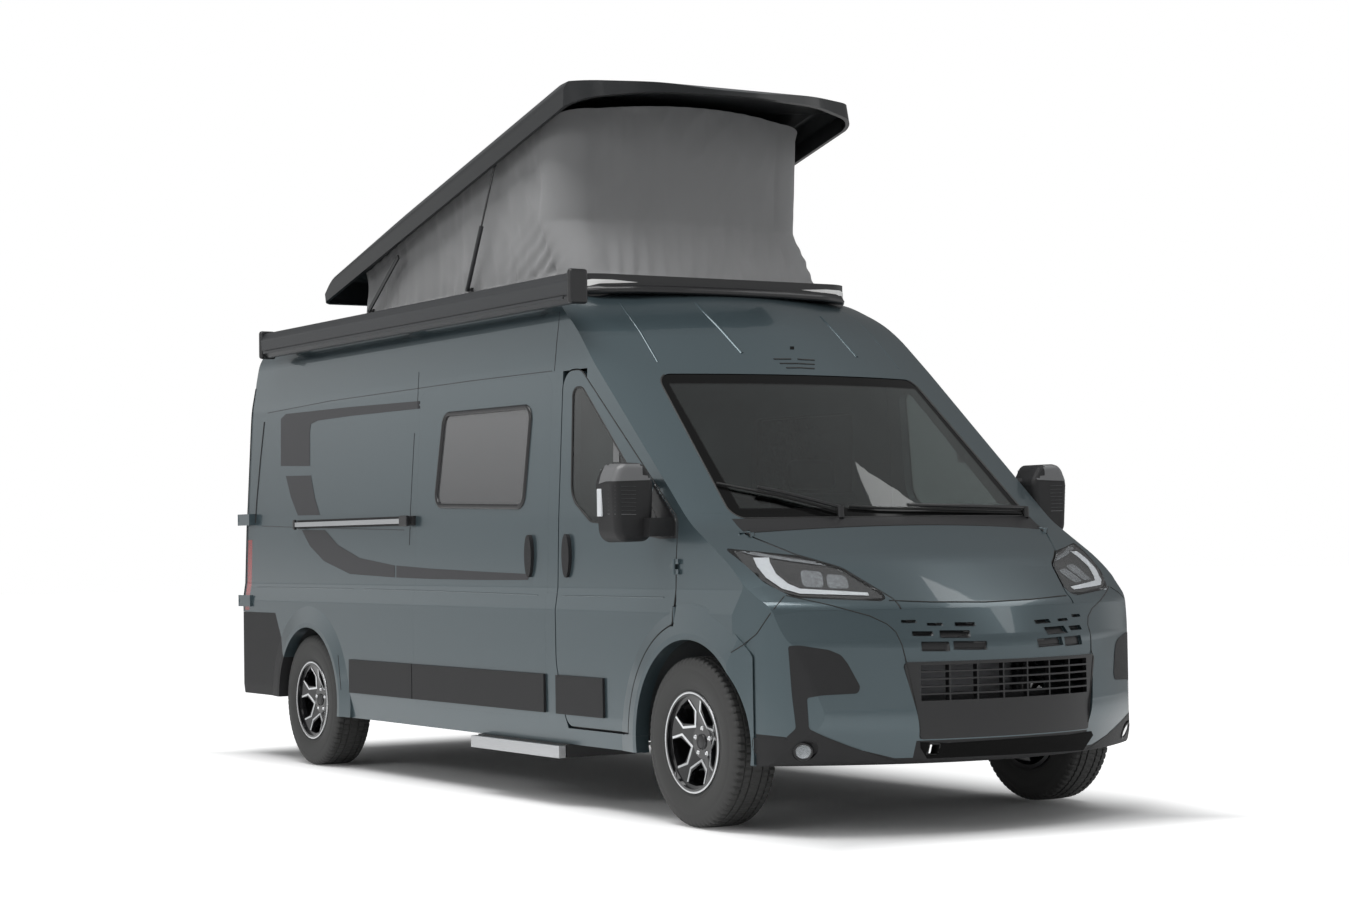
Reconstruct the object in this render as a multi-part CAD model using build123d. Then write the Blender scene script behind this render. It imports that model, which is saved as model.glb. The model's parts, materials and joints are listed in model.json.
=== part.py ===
"""Camper van with a raised pop-up roof, built as its real panels, doors, running gear and fittings.

Frame: +X forward, +Y to the left, +Z up, in millimetres. The origin lies on the ground
under the middle of the vehicle. At rest the pop-up roof is raised and all doors are shut.
"""

from build123d import *
import math
import os

os.makedirs("parts", exist_ok=True)

# Driving dimensions
MM = 1.0
LENGTH = 5998.0
WHEELBASE = 4035.0
FRONT_OVERHANG = 948.0
HALF_BODY = 1010.0
HALF_WIDTH = 1025.0
ROOF_TOP = 2482.0
SILL_BOTTOM = 292.0
FRONT_TRACK = 1810.0
REAR_TRACK = 1790.0
TYRE_RADIUS = 362.0
TYRE_WIDTH = 222.0
RIM_RADIUS = 206.0
ROOF_TILT_DEG = 13.7

# Walls, gaps and glass
WALL = 48.0
DOOR_GAP = 8.0
CENTRE_GAP = 11.0
SEAM = 0.4
GLASS = 6.0
GLASS_RECESS = 3.0
SEAT_GAP = 0.2
RUNNING = 0.05
OVERRUN = 60.0

HALF_LENGTH = LENGTH / 2
FRONT_AXLE_X = HALF_LENGTH - FRONT_OVERHANG
REAR_AXLE_X = FRONT_AXLE_X - WHEELBASE
AXLE_Z = TYRE_RADIUS
FAR = 2 * LENGTH
BOTTOM = -OVERRUN

# Side profile of the outer skin, from the rear sill round the nose and over the roof.
# Columns: x over half length, z over roof height, then how far the outer section lies
# behind and below the middle one, over the half body width, and corner radius over roof height.
PROFILE_SHARES = (
    (-0.9960, 0.1170, -0.03, 0.000, 0.016),
    (0.9780, 0.1170, 0.43, 0.000, 0.016),
    (1.0000, 0.1900, 0.40, 0.000, 0.080),
    (0.9890, 0.3180, 0.42, 0.000, 0.048),
    (0.9570, 0.3770, 0.34, 0.000, 0.040),
    (0.8600, 0.4540, 0.21, 0.040, 0.400),
    (0.7550, 0.5200, 0.25, 0.005, 0.220),
    (0.4880, 0.8010, 0.28, 0.010, 0.300),
    (0.3740, 0.9260, 0.28, 0.040, 0.450),
    (0.2530, 0.9910, 0.25, 0.060, 0.300),
    (0.0670, 1.0000, 0.10, 0.050, 0.300),
    (-0.9740, 0.9955, -0.05, 0.050, 0.048),
    (-0.9900, 0.8000, -0.03, 0.000, 0.300),
    (-0.9950, 0.4000, -0.03, 0.000, 0.300),
)

# Cross-section of the body: half width over half body, height and corner radius over roof height.
SECTION_SHARES = (
    (0.970, 0.085, 0.010),
    (0.998, 0.170, 0.080),
    (1.000, 0.365, 0.022),
    (0.984, 0.406, 0.022),
    (0.975, 0.536, 0.300),
    (0.940, 0.820, 0.300),
    (0.906, 0.927, 0.080),
    (0.812, 0.988, 0.080),
    (0.580, 1.016, 0.000),
)

# Plan of the nose and tail corners: x over half length, y and corner radius over half body.
PLAN_SHARES = (
    (-1.010, 0.960, 0.060),
    (-0.965, 1.030, 0.060),
    (0.760, 1.030, 0.300),
    (0.862, 0.945, 0.300),
    (0.934, 0.752, 0.300),
    (1.040, 0.280, 0.000),
)


def offset_outline(points, radii, inset):
    """Moves every side of a closed outline inward by inset and keeps its corners' number."""
    area = sum(a[0] * b[1] - b[0] * a[1] for a, b in zip(points, points[1:] + points[:1]))
    turn = 1 if area > 0 else -1
    count = len(points)
    moved, new_radii = [], []
    for i in range(count):
        before, here, after = points[i - 1], points[i], points[(i + 1) % count]
        d1 = Vector(here[0] - before[0], here[1] - before[1]).normalized()
        d2 = Vector(after[0] - here[0], after[1] - here[1]).normalized()
        n1 = Vector(-d1.Y * turn, d1.X * turn)
        n2 = Vector(-d2.Y * turn, d2.X * turn)
        bisect = n1 + n2
        scale = inset * 2 / (bisect.length**2)
        moved.append((here[0] + bisect.X * scale, here[1] + bisect.Y * scale))
        convex = (d1.X * d2.Y - d1.Y * d2.X) * turn > 0
        radius = radii[i]
        if radius > 0:
            radius = max(radius - inset, MM) if convex else max(radius + inset, MM)
        new_radii.append(radius)
    return moved, new_radii


def outline_face(points, radii, inset=0.0):
    """A closed face from corner points with rounded corners, moved inward by inset."""
    points = list(points)
    radii = [radii] * len(points) if isinstance(radii, (int, float)) else list(radii)
    if inset:
        points, radii = offset_outline(points, radii, inset)
    if not any(radii):
        return make_face(Polyline(*points, close=True))
    return make_face(FilletPolyline(*points, radius=radii, close=True))


def side_prism(points, radii, y_low, y_high, inset=0.0):
    """An outline in x and z, carried from y_low to y_high."""
    plane = Plane((0, y_low, 0), x_dir=(1, 0, 0), z_dir=(0, -1, 0))
    return extrude(plane * outline_face(points, radii, inset), amount=y_low - y_high)


def front_prism(points, radii, x_low, x_high, inset=0.0):
    """An outline in y and z, carried from x_low to x_high."""
    plane = Plane((x_low, 0, 0), x_dir=(0, 1, 0), z_dir=(1, 0, 0))
    return extrude(plane * outline_face(points, radii, inset), amount=x_high - x_low)


def plan_prism(points, radii, z_low, z_high, inset=0.0):
    """An outline in x and y, carried from z_low to z_high."""
    return extrude(Plane.XY.offset(z_low) * outline_face(points, radii, inset), amount=z_high - z_low)


def side_points(table):
    """Outline points in x and z from shares of the half length and the roof height."""
    return [(row[0] * HALF_LENGTH, row[1] * ROOF_TOP) for row in table]


def front_points(table):
    """Outline points in y and z from shares of the half body width and the roof height."""
    return [(row[0] * HALF_BODY, row[1] * ROOF_TOP) for row in table]


def plan_points(table):
    """Outline points in x and y from shares of the half length and the half body width."""
    return [(row[0] * HALF_LENGTH, row[1] * HALF_BODY) for row in table]


def block(x0, x1, y0, y1, z0, z1):
    """A plain block between two corners."""
    centre = Pos((x0 + x1) / 2, (y0 + y1) / 2, (z0 + z1) / 2)
    return centre * Box(abs(x1 - x0), abs(y1 - y0), abs(z1 - z0))


def rod_y(x, z, radius, y0, y1):
    """A round bar along y."""
    return Pos(x, (y0 + y1) / 2, z) * Rot(90, 0, 0) * Cylinder(radius, abs(y1 - y0))


def rod_z(x, y, radius, z0, z1):
    """A round bar along z."""
    return Pos(x, y, (z0 + z1) / 2) * Cylinder(radius, abs(z1 - z0))


def rod_x(y, z, radius, x0, x1):
    """A round bar along x."""
    return Pos((x0 + x1) / 2, y, z) * Rot(0, 90, 0) * Cylinder(radius, abs(x1 - x0))


def bar(start, end, radius, inner=0.0):
    """A round bar between two points, hollow if it has an inner radius."""
    a, b = Vector(*start), Vector(*end)
    plane = Plane(a, z_dir=(b - a))
    form = extrude(plane * Circle(radius), amount=(b - a).length)
    if inner:
        form -= extrude(plane * Circle(inner), amount=(b - a).length)
    return form


def mirrored(shape):
    """The same shape on the other side of the vehicle."""
    return mirror(shape, about=Plane.XZ)


def both(shape):
    """A piece and its mirror image, as one compound of separate solids."""
    return Compound(list(shape.solids()) + list(mirrored(shape).solids()))


def profile_at(share, inset):
    """The side profile a share of the way from the middle section to the outer one."""
    points = []
    for x, z, back, drop, _ in PROFILE_SHARES:
        points.append((x * HALF_LENGTH - back * share * HALF_BODY, z * ROOF_TOP - drop * share * HALF_BODY))
    radii = [row[4] * ROOF_TOP for row in PROFILE_SHARES]
    return offset_outline(points, radii, inset) if inset else (points, radii)


SECTION_MARGIN = 15.0
SECTION_Y = HALF_WIDTH + SECTION_MARGIN


def hull(inset=0.0, open_below=False):
    """The body's outer form, moved inward by inset. Open below, it runs down past the sills."""
    sections = []
    for y in (-SECTION_Y, 0.0, SECTION_Y):
        points, radii = profile_at(abs(y) / SECTION_Y, inset)
        if open_below:
            for end, other in ((0, -1), (1, 2)):
                (x0, z0), (x1, z1) = points[end], points[other]
                points[end] = (x0 + (BOTTOM - z0) * (x1 - x0) / (z1 - z0), BOTTOM)
        plane = Plane((0, y, 0), x_dir=(1, 0, 0), z_dir=(0, -1, 0))
        sections.append(plane * make_face(FilletPolyline(*points, radius=radii, close=True)))
    form = loft(sections)
    half = [(y * HALF_BODY, z * ROOF_TOP) for y, z, _ in SECTION_SHARES]
    radii = [r * ROOF_TOP for _, _, r in SECTION_SHARES]
    if open_below:
        half[0] = (half[1][0], 2 * BOTTOM)
    ring = half + [(-y, z) for y, z in reversed(half)]
    form &= front_prism(ring, radii + radii[::-1], -LENGTH, LENGTH, inset)
    plan = [(x * HALF_LENGTH, y * HALF_BODY) for x, y, _ in PLAN_SHARES]
    radii = [r * HALF_BODY for _, _, r in PLAN_SHARES]
    ring = plan + [(x, -y) for x, y in reversed(plan)]
    form &= plan_prism(ring, radii + radii[::-1], -LENGTH, LENGTH, inset)
    return form


nodes = {}


def keep(name, shape):
    """Stores a finished piece under its node name."""
    nodes[name] = shape


# Body shell: outer skin with its wheel-arch flares, hollow and open below
FRONT_ARCH_RADIUS = 435.0
REAR_ARCH_RADIUS = 405.0
FRONT_FLARE_RADIUS = 585.0
REAR_FLARE_RADIUS = 540.0
FLARE_LIP = 26.0
FLARE_PROUD = HALF_WIDTH - HALF_BODY


def flare(axle_x, lip_radius, outer_radius):
    """A raised rim round one right-hand wheel arch, sloping back into the skin."""
    plane = Plane((axle_x, 0, AXLE_Z), x_dir=(1, 0, 0), z_dir=(0, -1, 0))
    low = HALF_BODY - WALL / 2
    section = [
        (0, low), (outer_radius, low), (outer_radius, HALF_BODY - 3 * MM),
        (lip_radius + FLARE_LIP, HALF_WIDTH), (0, HALF_WIDTH),
    ]
    turned = Plane((axle_x, 0, AXLE_Z), x_dir=(1, 0, 0), z_dir=(0, 0, 1)) * make_face(
        Polyline(*[(r, -y) for r, y in section], close=True)
    )
    disc = revolve(turned, Axis((axle_x, 0, AXLE_Z), (0, 1, 0)))
    return disc & block(-FAR, FAR, -FAR, 0, SILL_BOTTOM, FAR)


outer_plain = hull()
inner = hull(WALL, open_below=True)
glass_outer = hull(GLASS_RECESS)
glass_inner = hull(GLASS_RECESS + GLASS)
plan_wide = [(x * HALF_LENGTH, y * HALF_BODY) for x, y, _ in PLAN_SHARES]
plan_wide += [(x, -y) for x, y in reversed(plan_wide)]
nose_limit = plan_prism(plan_wide, 0.0, -FAR, FAR, -FLARE_PROUD / 2)
flares = flare(FRONT_AXLE_X, FRONT_ARCH_RADIUS, FRONT_FLARE_RADIUS) & nose_limit
rear_flare = flare(REAR_AXLE_X, REAR_ARCH_RADIUS, REAR_FLARE_RADIUS)
outer = outer_plain + flares + rear_flare + mirrored(flares) + mirrored(rear_flare)
shell = outer - inner
for axle_x, radius in ((FRONT_AXLE_X, FRONT_ARCH_RADIUS), (REAR_AXLE_X, REAR_ARCH_RADIUS)):
    shell -= rod_y(axle_x, AXLE_Z, radius, -FAR, FAR)

# Seams of the body, as shares of the half length and the roof height
HEADER_SEAM_X = 0.2614 * HALF_LENGTH
REAR_SEAM_X = -0.9777 * HALF_LENGTH
ROOF_SEAM_Z = 0.9275 * ROOF_TOP
DOOR_TOP_Z = 0.8114 * ROOF_TOP
DOOR_BOTTOM_Z = 0.1499 * ROOF_TOP
DOOR_REAR_X = 0.2908 * HALF_LENGTH
DOOR_FRONT_X = 0.6409 * HALF_LENGTH
DOOR_ARCH_RADIUS = 512.0
SLIDING_FRONT_X = 0.2574 * HALF_LENGTH
SLIDING_REAR_X = -0.2161 * HALF_LENGTH
SLIDING_BOTTOM_Z = 0.1604 * ROOF_TOP
REAR_DOOR_BOTTOM_Z = 0.2240 * ROOF_TOP
REAR_DOOR_TOP_Z = 0.9234 * ROOF_TOP
BUMPER_TOP_Z = 0.3384 * ROOF_TOP
CORNER_Y = 0.8960 * HALF_BODY
DOOR_CORNER_RADIUS = 55.0
HALF_GAP = DOOR_GAP / 2

front_shell = shell & block(HEADER_SEAM_X, FAR, -FAR, FAR, -FAR, FAR)
right_shell = shell & block(-FAR, FAR, -FAR, 0, -FAR, FAR)

# Cab door, right: columns x over half length, z over roof height, corner radius over roof height
CAB_DOOR_SHARES = (
    (0.2908, 0.8114, 0.0363),
    (0.3468, 0.8114, 0.0443),
    (0.6449, 0.5278, 0.0242),
    (0.6409, 0.4633, 0.0081),
    (0.6409, 0.3368, 0.0161),
    (0.4335, 0.3368, 0.0000),
    (0.4335, 0.1499, 0.0000),
    (0.3228, 0.1499, 0.0242),
    (0.2908, 0.2659, 0.1209),
)
CAB_WINDOW_SHARES = (
    (0.3234, 0.7776, 0.0161),
    (0.3535, 0.7776, 0.0322),
    (0.6102, 0.5085, 0.0161),
    (0.3901, 0.5278, 0.0242),
    (0.3284, 0.5721, 0.0483),
)
cab_points = side_points(CAB_DOOR_SHARES)
cab_radii = [row[2] * ROOF_TOP for row in CAB_DOOR_SHARES]
lower_door = block(0.4301 * HALF_LENGTH, DOOR_FRONT_X, -FAR, 0, DOOR_BOTTOM_Z, 0.3405 * ROOF_TOP)


def cab_door_form(grow):
    """The right cab door's outline as a prism, grown all round by grow."""
    form = side_prism(cab_points, cab_radii, -FAR, 0, -grow)
    form += block(0.4301 * HALF_LENGTH, DOOR_FRONT_X + grow, -FAR, 0, DOOR_BOTTOM_Z - grow, 0.3405 * ROOF_TOP)
    return form - rod_y(FRONT_AXLE_X, AXLE_Z, DOOR_ARCH_RADIUS - grow, -FAR, 0)


side_right = right_shell & block(-FAR, FAR, -FAR, -HALF_BODY / 2, -FAR, FAR)
cab_door = side_right & cab_door_form(-HALF_GAP)
cab_hole = cab_door_form(HALF_GAP)

# Bumper, bonnet, headlight, windscreen and cowl, cut out of the nose
BUMPER_SHARES = (
    (0.7369, -0.0403), (0.7369, 0.2885), (0.7769, 0.2945), (0.8393, 0.3332), (0.8536, 0.3598), (0.8836, 0.3715), (1.0670, 0.3715), (1.0670, -0.0403),
)
BONNET_SHARES = (
    (0.8069, 0.5721, 0.0000), (0.8069, 0.4996, 0.0081), (0.6931, 0.4633, 0.0161), (0.5545, 0.4392, 0.0282), (0.4574, 0.3888, 0.0121), (0.4475, 0.3546, 0.0000),
    (-0.4475, 0.3546, 0.0000), (-0.4574, 0.3888, 0.0121), (-0.5545, 0.4392, 0.0282), (-0.6931, 0.4633, 0.0161), (-0.8069, 0.4996, 0.0081), (-0.8069, 0.5721, 0.0000),
)
HEADLIGHT_SHARES = (
    (-0.9426, 0.4762, 0.0048), (-0.6931, 0.4621, 0.0161), (-0.5545, 0.4380, 0.0242), (-0.4634, 0.3916, 0.0097), (-0.5149, 0.3848, 0.0097), (-0.8317, 0.3928, 0.0242),
    (-0.9030, 0.4190, 0.0201),
)
WINDSCREEN_SHARES = (
    (-0.7980, 0.5262, 0.0201), (0.7980, 0.5262, 0.0201), (0.7149, 0.7969, 0.0282), (-0.7149, 0.7969, 0.0282),
)
WINDSCREEN_X = 0.3835 * HALF_LENGTH
BONNET_REAR_X = 0.7689 * HALF_LENGTH
BONNET_REAR_SIDE_X = 0.7302 * HALF_LENGTH
LAMP_REAR_X = 0.7169 * HALF_LENGTH


def bonnet_line(shift):
    """A block ahead of the bonnet's curved rear edge."""
    y = 0.8069 * HALF_BODY
    rear, side = BONNET_REAR_X + shift, BONNET_REAR_SIDE_X + shift
    edge = ThreePointArc((side, -y), (rear, 0), (side, y))
    rest = Polyline((side, y), (side, FAR), (FAR, FAR), (FAR, -FAR), (side, -FAR), (side, -y))
    return extrude(Plane.XY.offset(-FAR) * make_face([edge, rest]), amount=2 * FAR)


def front_cut(table, x_low, x_high, grow=0.0):
    """A prism along x from a table of front-view shares, grown by grow."""
    return front_prism(front_points(table), [row[2] * ROOF_TOP for row in table], x_low, x_high, -grow)


nose = front_shell & block(0.3668 * HALF_LENGTH, FAR, -FAR, FAR, -FAR, FAR)
bumper = nose & side_prism(side_points(BUMPER_SHARES), 0.0, -FAR, FAR, SEAM / 2)
above_bumper = nose - side_prism(side_points(BUMPER_SHARES), 0.0, -FAR, FAR, -SEAM / 2)
bonnet = (above_bumper & front_cut(BONNET_SHARES, LAMP_REAR_X, FAR, -HALF_GAP)) & bonnet_line(HALF_GAP)
bonnet_hole = front_cut(BONNET_SHARES, LAMP_REAR_X, FAR, HALF_GAP) & bonnet_line(-HALF_GAP)
lamp_cut = front_cut(HEADLIGHT_SHARES, LAMP_REAR_X, FAR, -SEAM / 2)
lamp_hole = front_cut(HEADLIGHT_SHARES, LAMP_REAR_X, FAR, SEAM / 2)
lamp = above_bumper & lamp_cut
lamp -= bonnet_hole
headlights = both(lamp)

screen_cut = front_cut(WINDSCREEN_SHARES, WINDSCREEN_X, 0.8336 * HALF_LENGTH, -SEAT_GAP)
screen_hole = front_cut(WINDSCREEN_SHARES, WINDSCREEN_X, 0.8336 * HALF_LENGTH)
windscreen = (glass_outer - glass_inner) & screen_cut
cowl_zone = block(0.6536 * HALF_LENGTH, FAR, -0.8040 * HALF_BODY, 0.8040 * HALF_BODY, 0.4432 * ROOF_TOP, 0.5262 * ROOF_TOP - SEAM) - bonnet_line(-HALF_GAP)
cowl_limit = block(0.6536 * HALF_LENGTH, FAR, -0.8040 * HALF_BODY - SEAM, 0.8040 * HALF_BODY + SEAM, 0.4432 * ROOF_TOP - SEAM, 0.5262 * ROOF_TOP) - bonnet_line(HALF_GAP)
cowl = above_bumper & cowl_zone

# Fender and header: what is left of the nose, split at the foot of the pillar
PILLAR_FOOT_Z = 0.5359 * ROOF_TOP
rest_right = (above_bumper & block(-FAR, FAR, -FAR, 0, -FAR, FAR)) - cab_hole - bonnet_hole - lamp_hole
rest_right = rest_right - screen_hole - cowl_limit
fender = rest_right & block(0.5002 * HALF_LENGTH, FAR, -FAR, 0, 0.1467 * ROOF_TOP + SEAM, PILLAR_FOOT_Z - SEAM / 2)
header = (
    front_shell
    - side_prism(side_points((((0.3668, -0.0403)), ((0.3668, 0.5359)), ((1.0670, 0.5359)), ((1.0670, -0.0403)))), 0.0, -FAR, FAR)
    - block(-FAR, 0.3671 * HALF_LENGTH, -FAR, FAR, -FAR, DOOR_TOP_Z)
    - cab_hole
    - mirrored(cab_hole)
    - screen_hole
) & block(HEADER_SEAM_X + SEAM, FAR, -FAR, FAR, -FAR, FAR)

# Body side, right, with the sliding door and the sill
SIDE_SHARES = (
    (-0.9777, 0.1483), (-0.6612, 0.1483), (-0.6612, -0.0403), (0.5969, -0.0403), (0.5969, 0.1467), (0.3224, 0.1467), (0.2908, 0.2659), (0.2908, 0.8114), (0.2614, 0.8114), (0.2614, 0.9275),
    (-0.9720, 0.9275),
)
SLIDING_SHARES = (
    (-0.2161, 0.1604, 0.0242), (0.2574, 0.1604, 0.0242), (0.2574, 0.8114, 0.0363), (-0.2161, 0.8114, 0.0363),
)
SLIDING_WINDOW_SHARES = (
    (-0.1440, 0.5689, 0.0242), (0.1734, 0.5592, 0.0242), (0.1914, 0.7518, 0.0242), (-0.1207, 0.7550, 0.0242),
)
side_panel = side_right & side_prism(side_points(SIDE_SHARES), 0.0, -FAR, 0)
side_panel -= cab_hole
sliding_radii = [row[2] * ROOF_TOP for row in SLIDING_SHARES]
sliding = side_right & side_prism(side_points(SLIDING_SHARES), sliding_radii, -FAR, 0, SEAM / 2)
body_side_right = side_panel - side_prism(side_points(SLIDING_SHARES), sliding_radii, -FAR, 0, -SEAM / 2)


def window(table, grow=0.0):
    """A right-hand side window's outline as a prism, from a table of shares."""
    return side_prism(side_points(table), [row[2] * ROOF_TOP for row in table], -FAR, 0, -grow)


glass_skin_right = (glass_outer - glass_inner) & block(-FAR, FAR, -FAR, -HALF_BODY / 2, -FAR, FAR)
sliding_window = glass_skin_right & window(SLIDING_WINDOW_SHARES, -SEAT_GAP)
sliding_door = sliding - window(SLIDING_WINDOW_SHARES)
cab_window = glass_skin_right & window(CAB_WINDOW_SHARES, -SEAT_GAP)
cab_door -= window(CAB_WINDOW_SHARES)

# Left side: two windows in a plain side
LEFT_WINDOWS_SHARES = (
    ((-0.1434, 0.5689, 0.0242), (0.1734, 0.5592, 0.0242), (0.1914, 0.7518, 0.0242), (-0.1207, 0.7550, 0.0242)),
    ((-0.6335, 0.5802, 0.0242), (-0.3334, 0.5721, 0.0242), (-0.3334, 0.7518, 0.0242), (-0.6335, 0.7518, 0.0242)),
)
body_side_left = side_panel
left_glass = []
for table in LEFT_WINDOWS_SHARES:
    body_side_left -= window(table)
    left_glass.append(glass_skin_right & window(table, -SEAT_GAP))
body_side_left = mirrored(body_side_left)

# Roof panel with the hatch under the tent
HATCH_SHARES = ((-0.5602, -0.6139, 0.0198), (0.1867, -0.6139, 0.0198), (0.1867, 0.6139, 0.0198), (-0.5602, 0.6139, 0.0198))
hatch_radii = [row[2] * HALF_BODY for row in HATCH_SHARES]
roof_panel = shell & side_prism(
    side_points(((-1.0337, 0.9275), (0.2614, 0.9275), (0.2614, 1.0878), (-1.0337, 1.0878))), 0.0, -FAR, FAR, SEAM / 2
)
roof_panel -= plan_prism(plan_points(HATCH_SHARES), hatch_radii, 0, FAR)

# Rear doors
rear_region = side_points(((-1.0670, 0.2240), (-0.9790, 0.2240), (-0.9733, 0.9234), (-1.0670, 0.9234)))
rear_slab = right_shell & side_prism(rear_region, 0.0, -FAR, 0)
rear_slab -= block(-FAR, FAR, -CENTRE_GAP / 2, FAR, -FAR, FAR)
rear_slab -= block(-FAR, FAR, -FAR, -CORNER_Y + HALF_GAP, -FAR, BUMPER_TOP_Z + HALF_GAP)
REAR_WINDOW_SHARES = ((-0.8218, 0.5641, 0.0201), (-0.1683, 0.5641, 0.0201), (-0.1683, 0.7655, 0.0201), (-0.7921, 0.7655, 0.0201))
rear_hole = front_cut(REAR_WINDOW_SHARES, -FAR, -HALF_LENGTH / 2)
rear_pane = (glass_outer - glass_inner) & front_cut(REAR_WINDOW_SHARES, -FAR, -HALF_LENGTH / 2, -SEAT_GAP)
rear_door = rear_slab - rear_hole

# Rear bumper with its raised corners
bumper_side = side_points(((-1.0670, 0.1467), (-0.7669, 0.1467), (-0.7669, 0.2256), (-0.8236, 0.3384), (-1.0670, 0.3384)))
rear_zone = side_prism(bumper_side, 0.0, -FAR, 0)
upper_mid = block(-FAR, REAR_SEAM_X, -CORNER_Y, 0, REAR_DOOR_BOTTOM_Z - DOOR_GAP, FAR)
rear_corner = (right_shell & rear_zone) - upper_mid
body_side_right -= side_prism(bumper_side, 0.0, -FAR, 0, -SEAM)
body_side_left -= mirrored(side_prism(bumper_side, 0.0, -FAR, 0, -SEAM))
rear_bumper = rear_corner + mirrored(rear_corner)

# Tail lights in the rear corners of the sides
lamp_zone = side_points(((-0.9780, 0.3433), (-0.9543, 0.3433), (-0.9543, 0.5085), (-0.9780, 0.5085)))
tail_lamp = side_right & side_prism(lamp_zone, 0.0, -FAR, 0, SEAM / 2)
tail_lamp &= side_prism(side_points(SIDE_SHARES), 0.0, -FAR, 0)
body_side_right -= side_prism(lamp_zone, 0.0, -FAR, 0, -SEAM / 2)
body_side_left -= mirrored(side_prism(lamp_zone, 0.0, -FAR, 0, -SEAM / 2))

# The sides are joined from an upper panel and lower panels, with the seam in the crease
CREASE_Z = 0.3969 * ROOF_TOP
crease_cut = block(-FAR, FAR, -FAR, FAR, CREASE_Z - SEAM / 2, CREASE_Z + SEAM / 2)
body_side_right -= crease_cut
body_side_left -= crease_cut

# Door hinges: a fixed pin with two end knuckles, and a moving eye between them
PIN_RADIUS = 4.0
EYE_RADIUS = 8.0
HINGE_LENGTH = 66.0
HINGE_STEP = 0.5
POCKET_GAP = 4.0
WEB = 7.0


def z_hinge(x, y, z_mid):
    """An upright hinge: the fixed knuckles with their pin, the moving eye and the pocket round both."""
    third = HINGE_LENGTH / 3
    low, high = z_mid - HINGE_LENGTH / 2, z_mid + HINGE_LENGTH / 2
    fixed = rod_z(x, y, EYE_RADIUS, low, low + third) + rod_z(x, y, EYE_RADIUS, high - third, high)
    fixed += rod_z(x, y, PIN_RADIUS, low, high)
    moving = rod_z(x, y, EYE_RADIUS, low + third + HINGE_STEP, high - third - HINGE_STEP)
    moving -= rod_z(x, y, PIN_RADIUS + RUNNING, low, high)
    pocket = rod_z(x, y, EYE_RADIUS + POCKET_GAP, low - POCKET_GAP, high + POCKET_GAP)
    return fixed, moving, pocket


CAB_HINGE_Y = HALF_BODY - 7 * MM
CAB_HINGE_HEIGHTS = (0.3626 * ROOF_TOP, 0.4452 * ROOF_TOP)
HINGE_REACH = 34.0
third = HINGE_LENGTH / 3
SWING_GROOVES = ((0.3425 * ROOF_TOP, 0.3787 * ROOF_TOP, 20.0), (0.3344 * ROOF_TOP, 0.4029 * ROOF_TOP, 13.0))
for z0, z1, radius in SWING_GROOVES:
    groove = rod_z(DOOR_FRONT_X, -CAB_HINGE_Y, radius, z0, z1)
    fender -= groove & block(-FAR, FAR, -FAR, -CAB_HINGE_Y + WEB, -FAR, FAR)
for z_mid in CAB_HINGE_HEIGHTS:
    fixed, moving, pocket = z_hinge(DOOR_FRONT_X, -CAB_HINGE_Y, z_mid)
    low, high = z_mid - HINGE_LENGTH / 2, z_mid + HINGE_LENGTH / 2
    cab_door -= pocket
    fender -= pocket
    web = block(DOOR_FRONT_X - HINGE_REACH, DOOR_FRONT_X, -CAB_HINGE_Y, -CAB_HINGE_Y + 3 * WEB,
                low + third + HINGE_STEP, high - third - HINGE_STEP)
    web -= rod_z(DOOR_FRONT_X, -CAB_HINGE_Y, PIN_RADIUS + RUNNING, low, high)
    cab_door += moving + web
    for z0, z1 in ((low, low + third), (high - third, high)):
        fixed += block(DOOR_FRONT_X, DOOR_FRONT_X + HINGE_REACH, -CAB_HINGE_Y, -CAB_HINGE_Y + 3 * WEB, z0, z1)
    fender += fixed

REAR_HINGE_X = -HALF_LENGTH + EYE_RADIUS
REAR_HINGE_Y = HALF_WIDTH - EYE_RADIUS
REAR_HINGE_HEIGHTS = (0.3646 * ROOF_TOP, 0.5560 * ROOF_TOP)
STRAP = 6.0
STRAP_CLEAR = 5.5
FOOT_LENGTH = 112.0
for z_mid in REAR_HINGE_HEIGHTS:
    fixed, moving, _ = z_hinge(REAR_HINGE_X, -REAR_HINGE_Y, z_mid)
    low, high = z_mid - HINGE_LENGTH / 2, z_mid + HINGE_LENGTH / 2
    strap = block(REAR_HINGE_X, REAR_SEAM_X + FOOT_LENGTH, -REAR_HINGE_Y - STRAP, -REAR_HINGE_Y, low, high)
    strap += block(REAR_SEAM_X + DOOR_GAP, REAR_SEAM_X + FOOT_LENGTH, -REAR_HINGE_Y, -CORNER_Y, low, high)
    strap -= outer
    strap -= block(-FAR, REAR_HINGE_X + 2 * EYE_RADIUS, -FAR, 0, low + third, high - third)
    hinge_fixed = fixed + strap
    body_side_right += hinge_fixed
    body_side_left += mirrored(hinge_fixed)
    leaf = block(REAR_HINGE_X - STRAP / 2, -HALF_LENGTH / 2, -REAR_HINGE_Y, -CORNER_Y,
                 low + third + HINGE_STEP, high - third - HINGE_STEP)
    leaf &= block(-FAR, REAR_SEAM_X - 2 * DOOR_GAP, -FAR, 0, -FAR, FAR)
    leaf -= outer
    leaf -= rod_z(REAR_HINGE_X, -REAR_HINGE_Y, PIN_RADIUS + RUNNING, low, high)
    rear_door += moving + leaf

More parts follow.
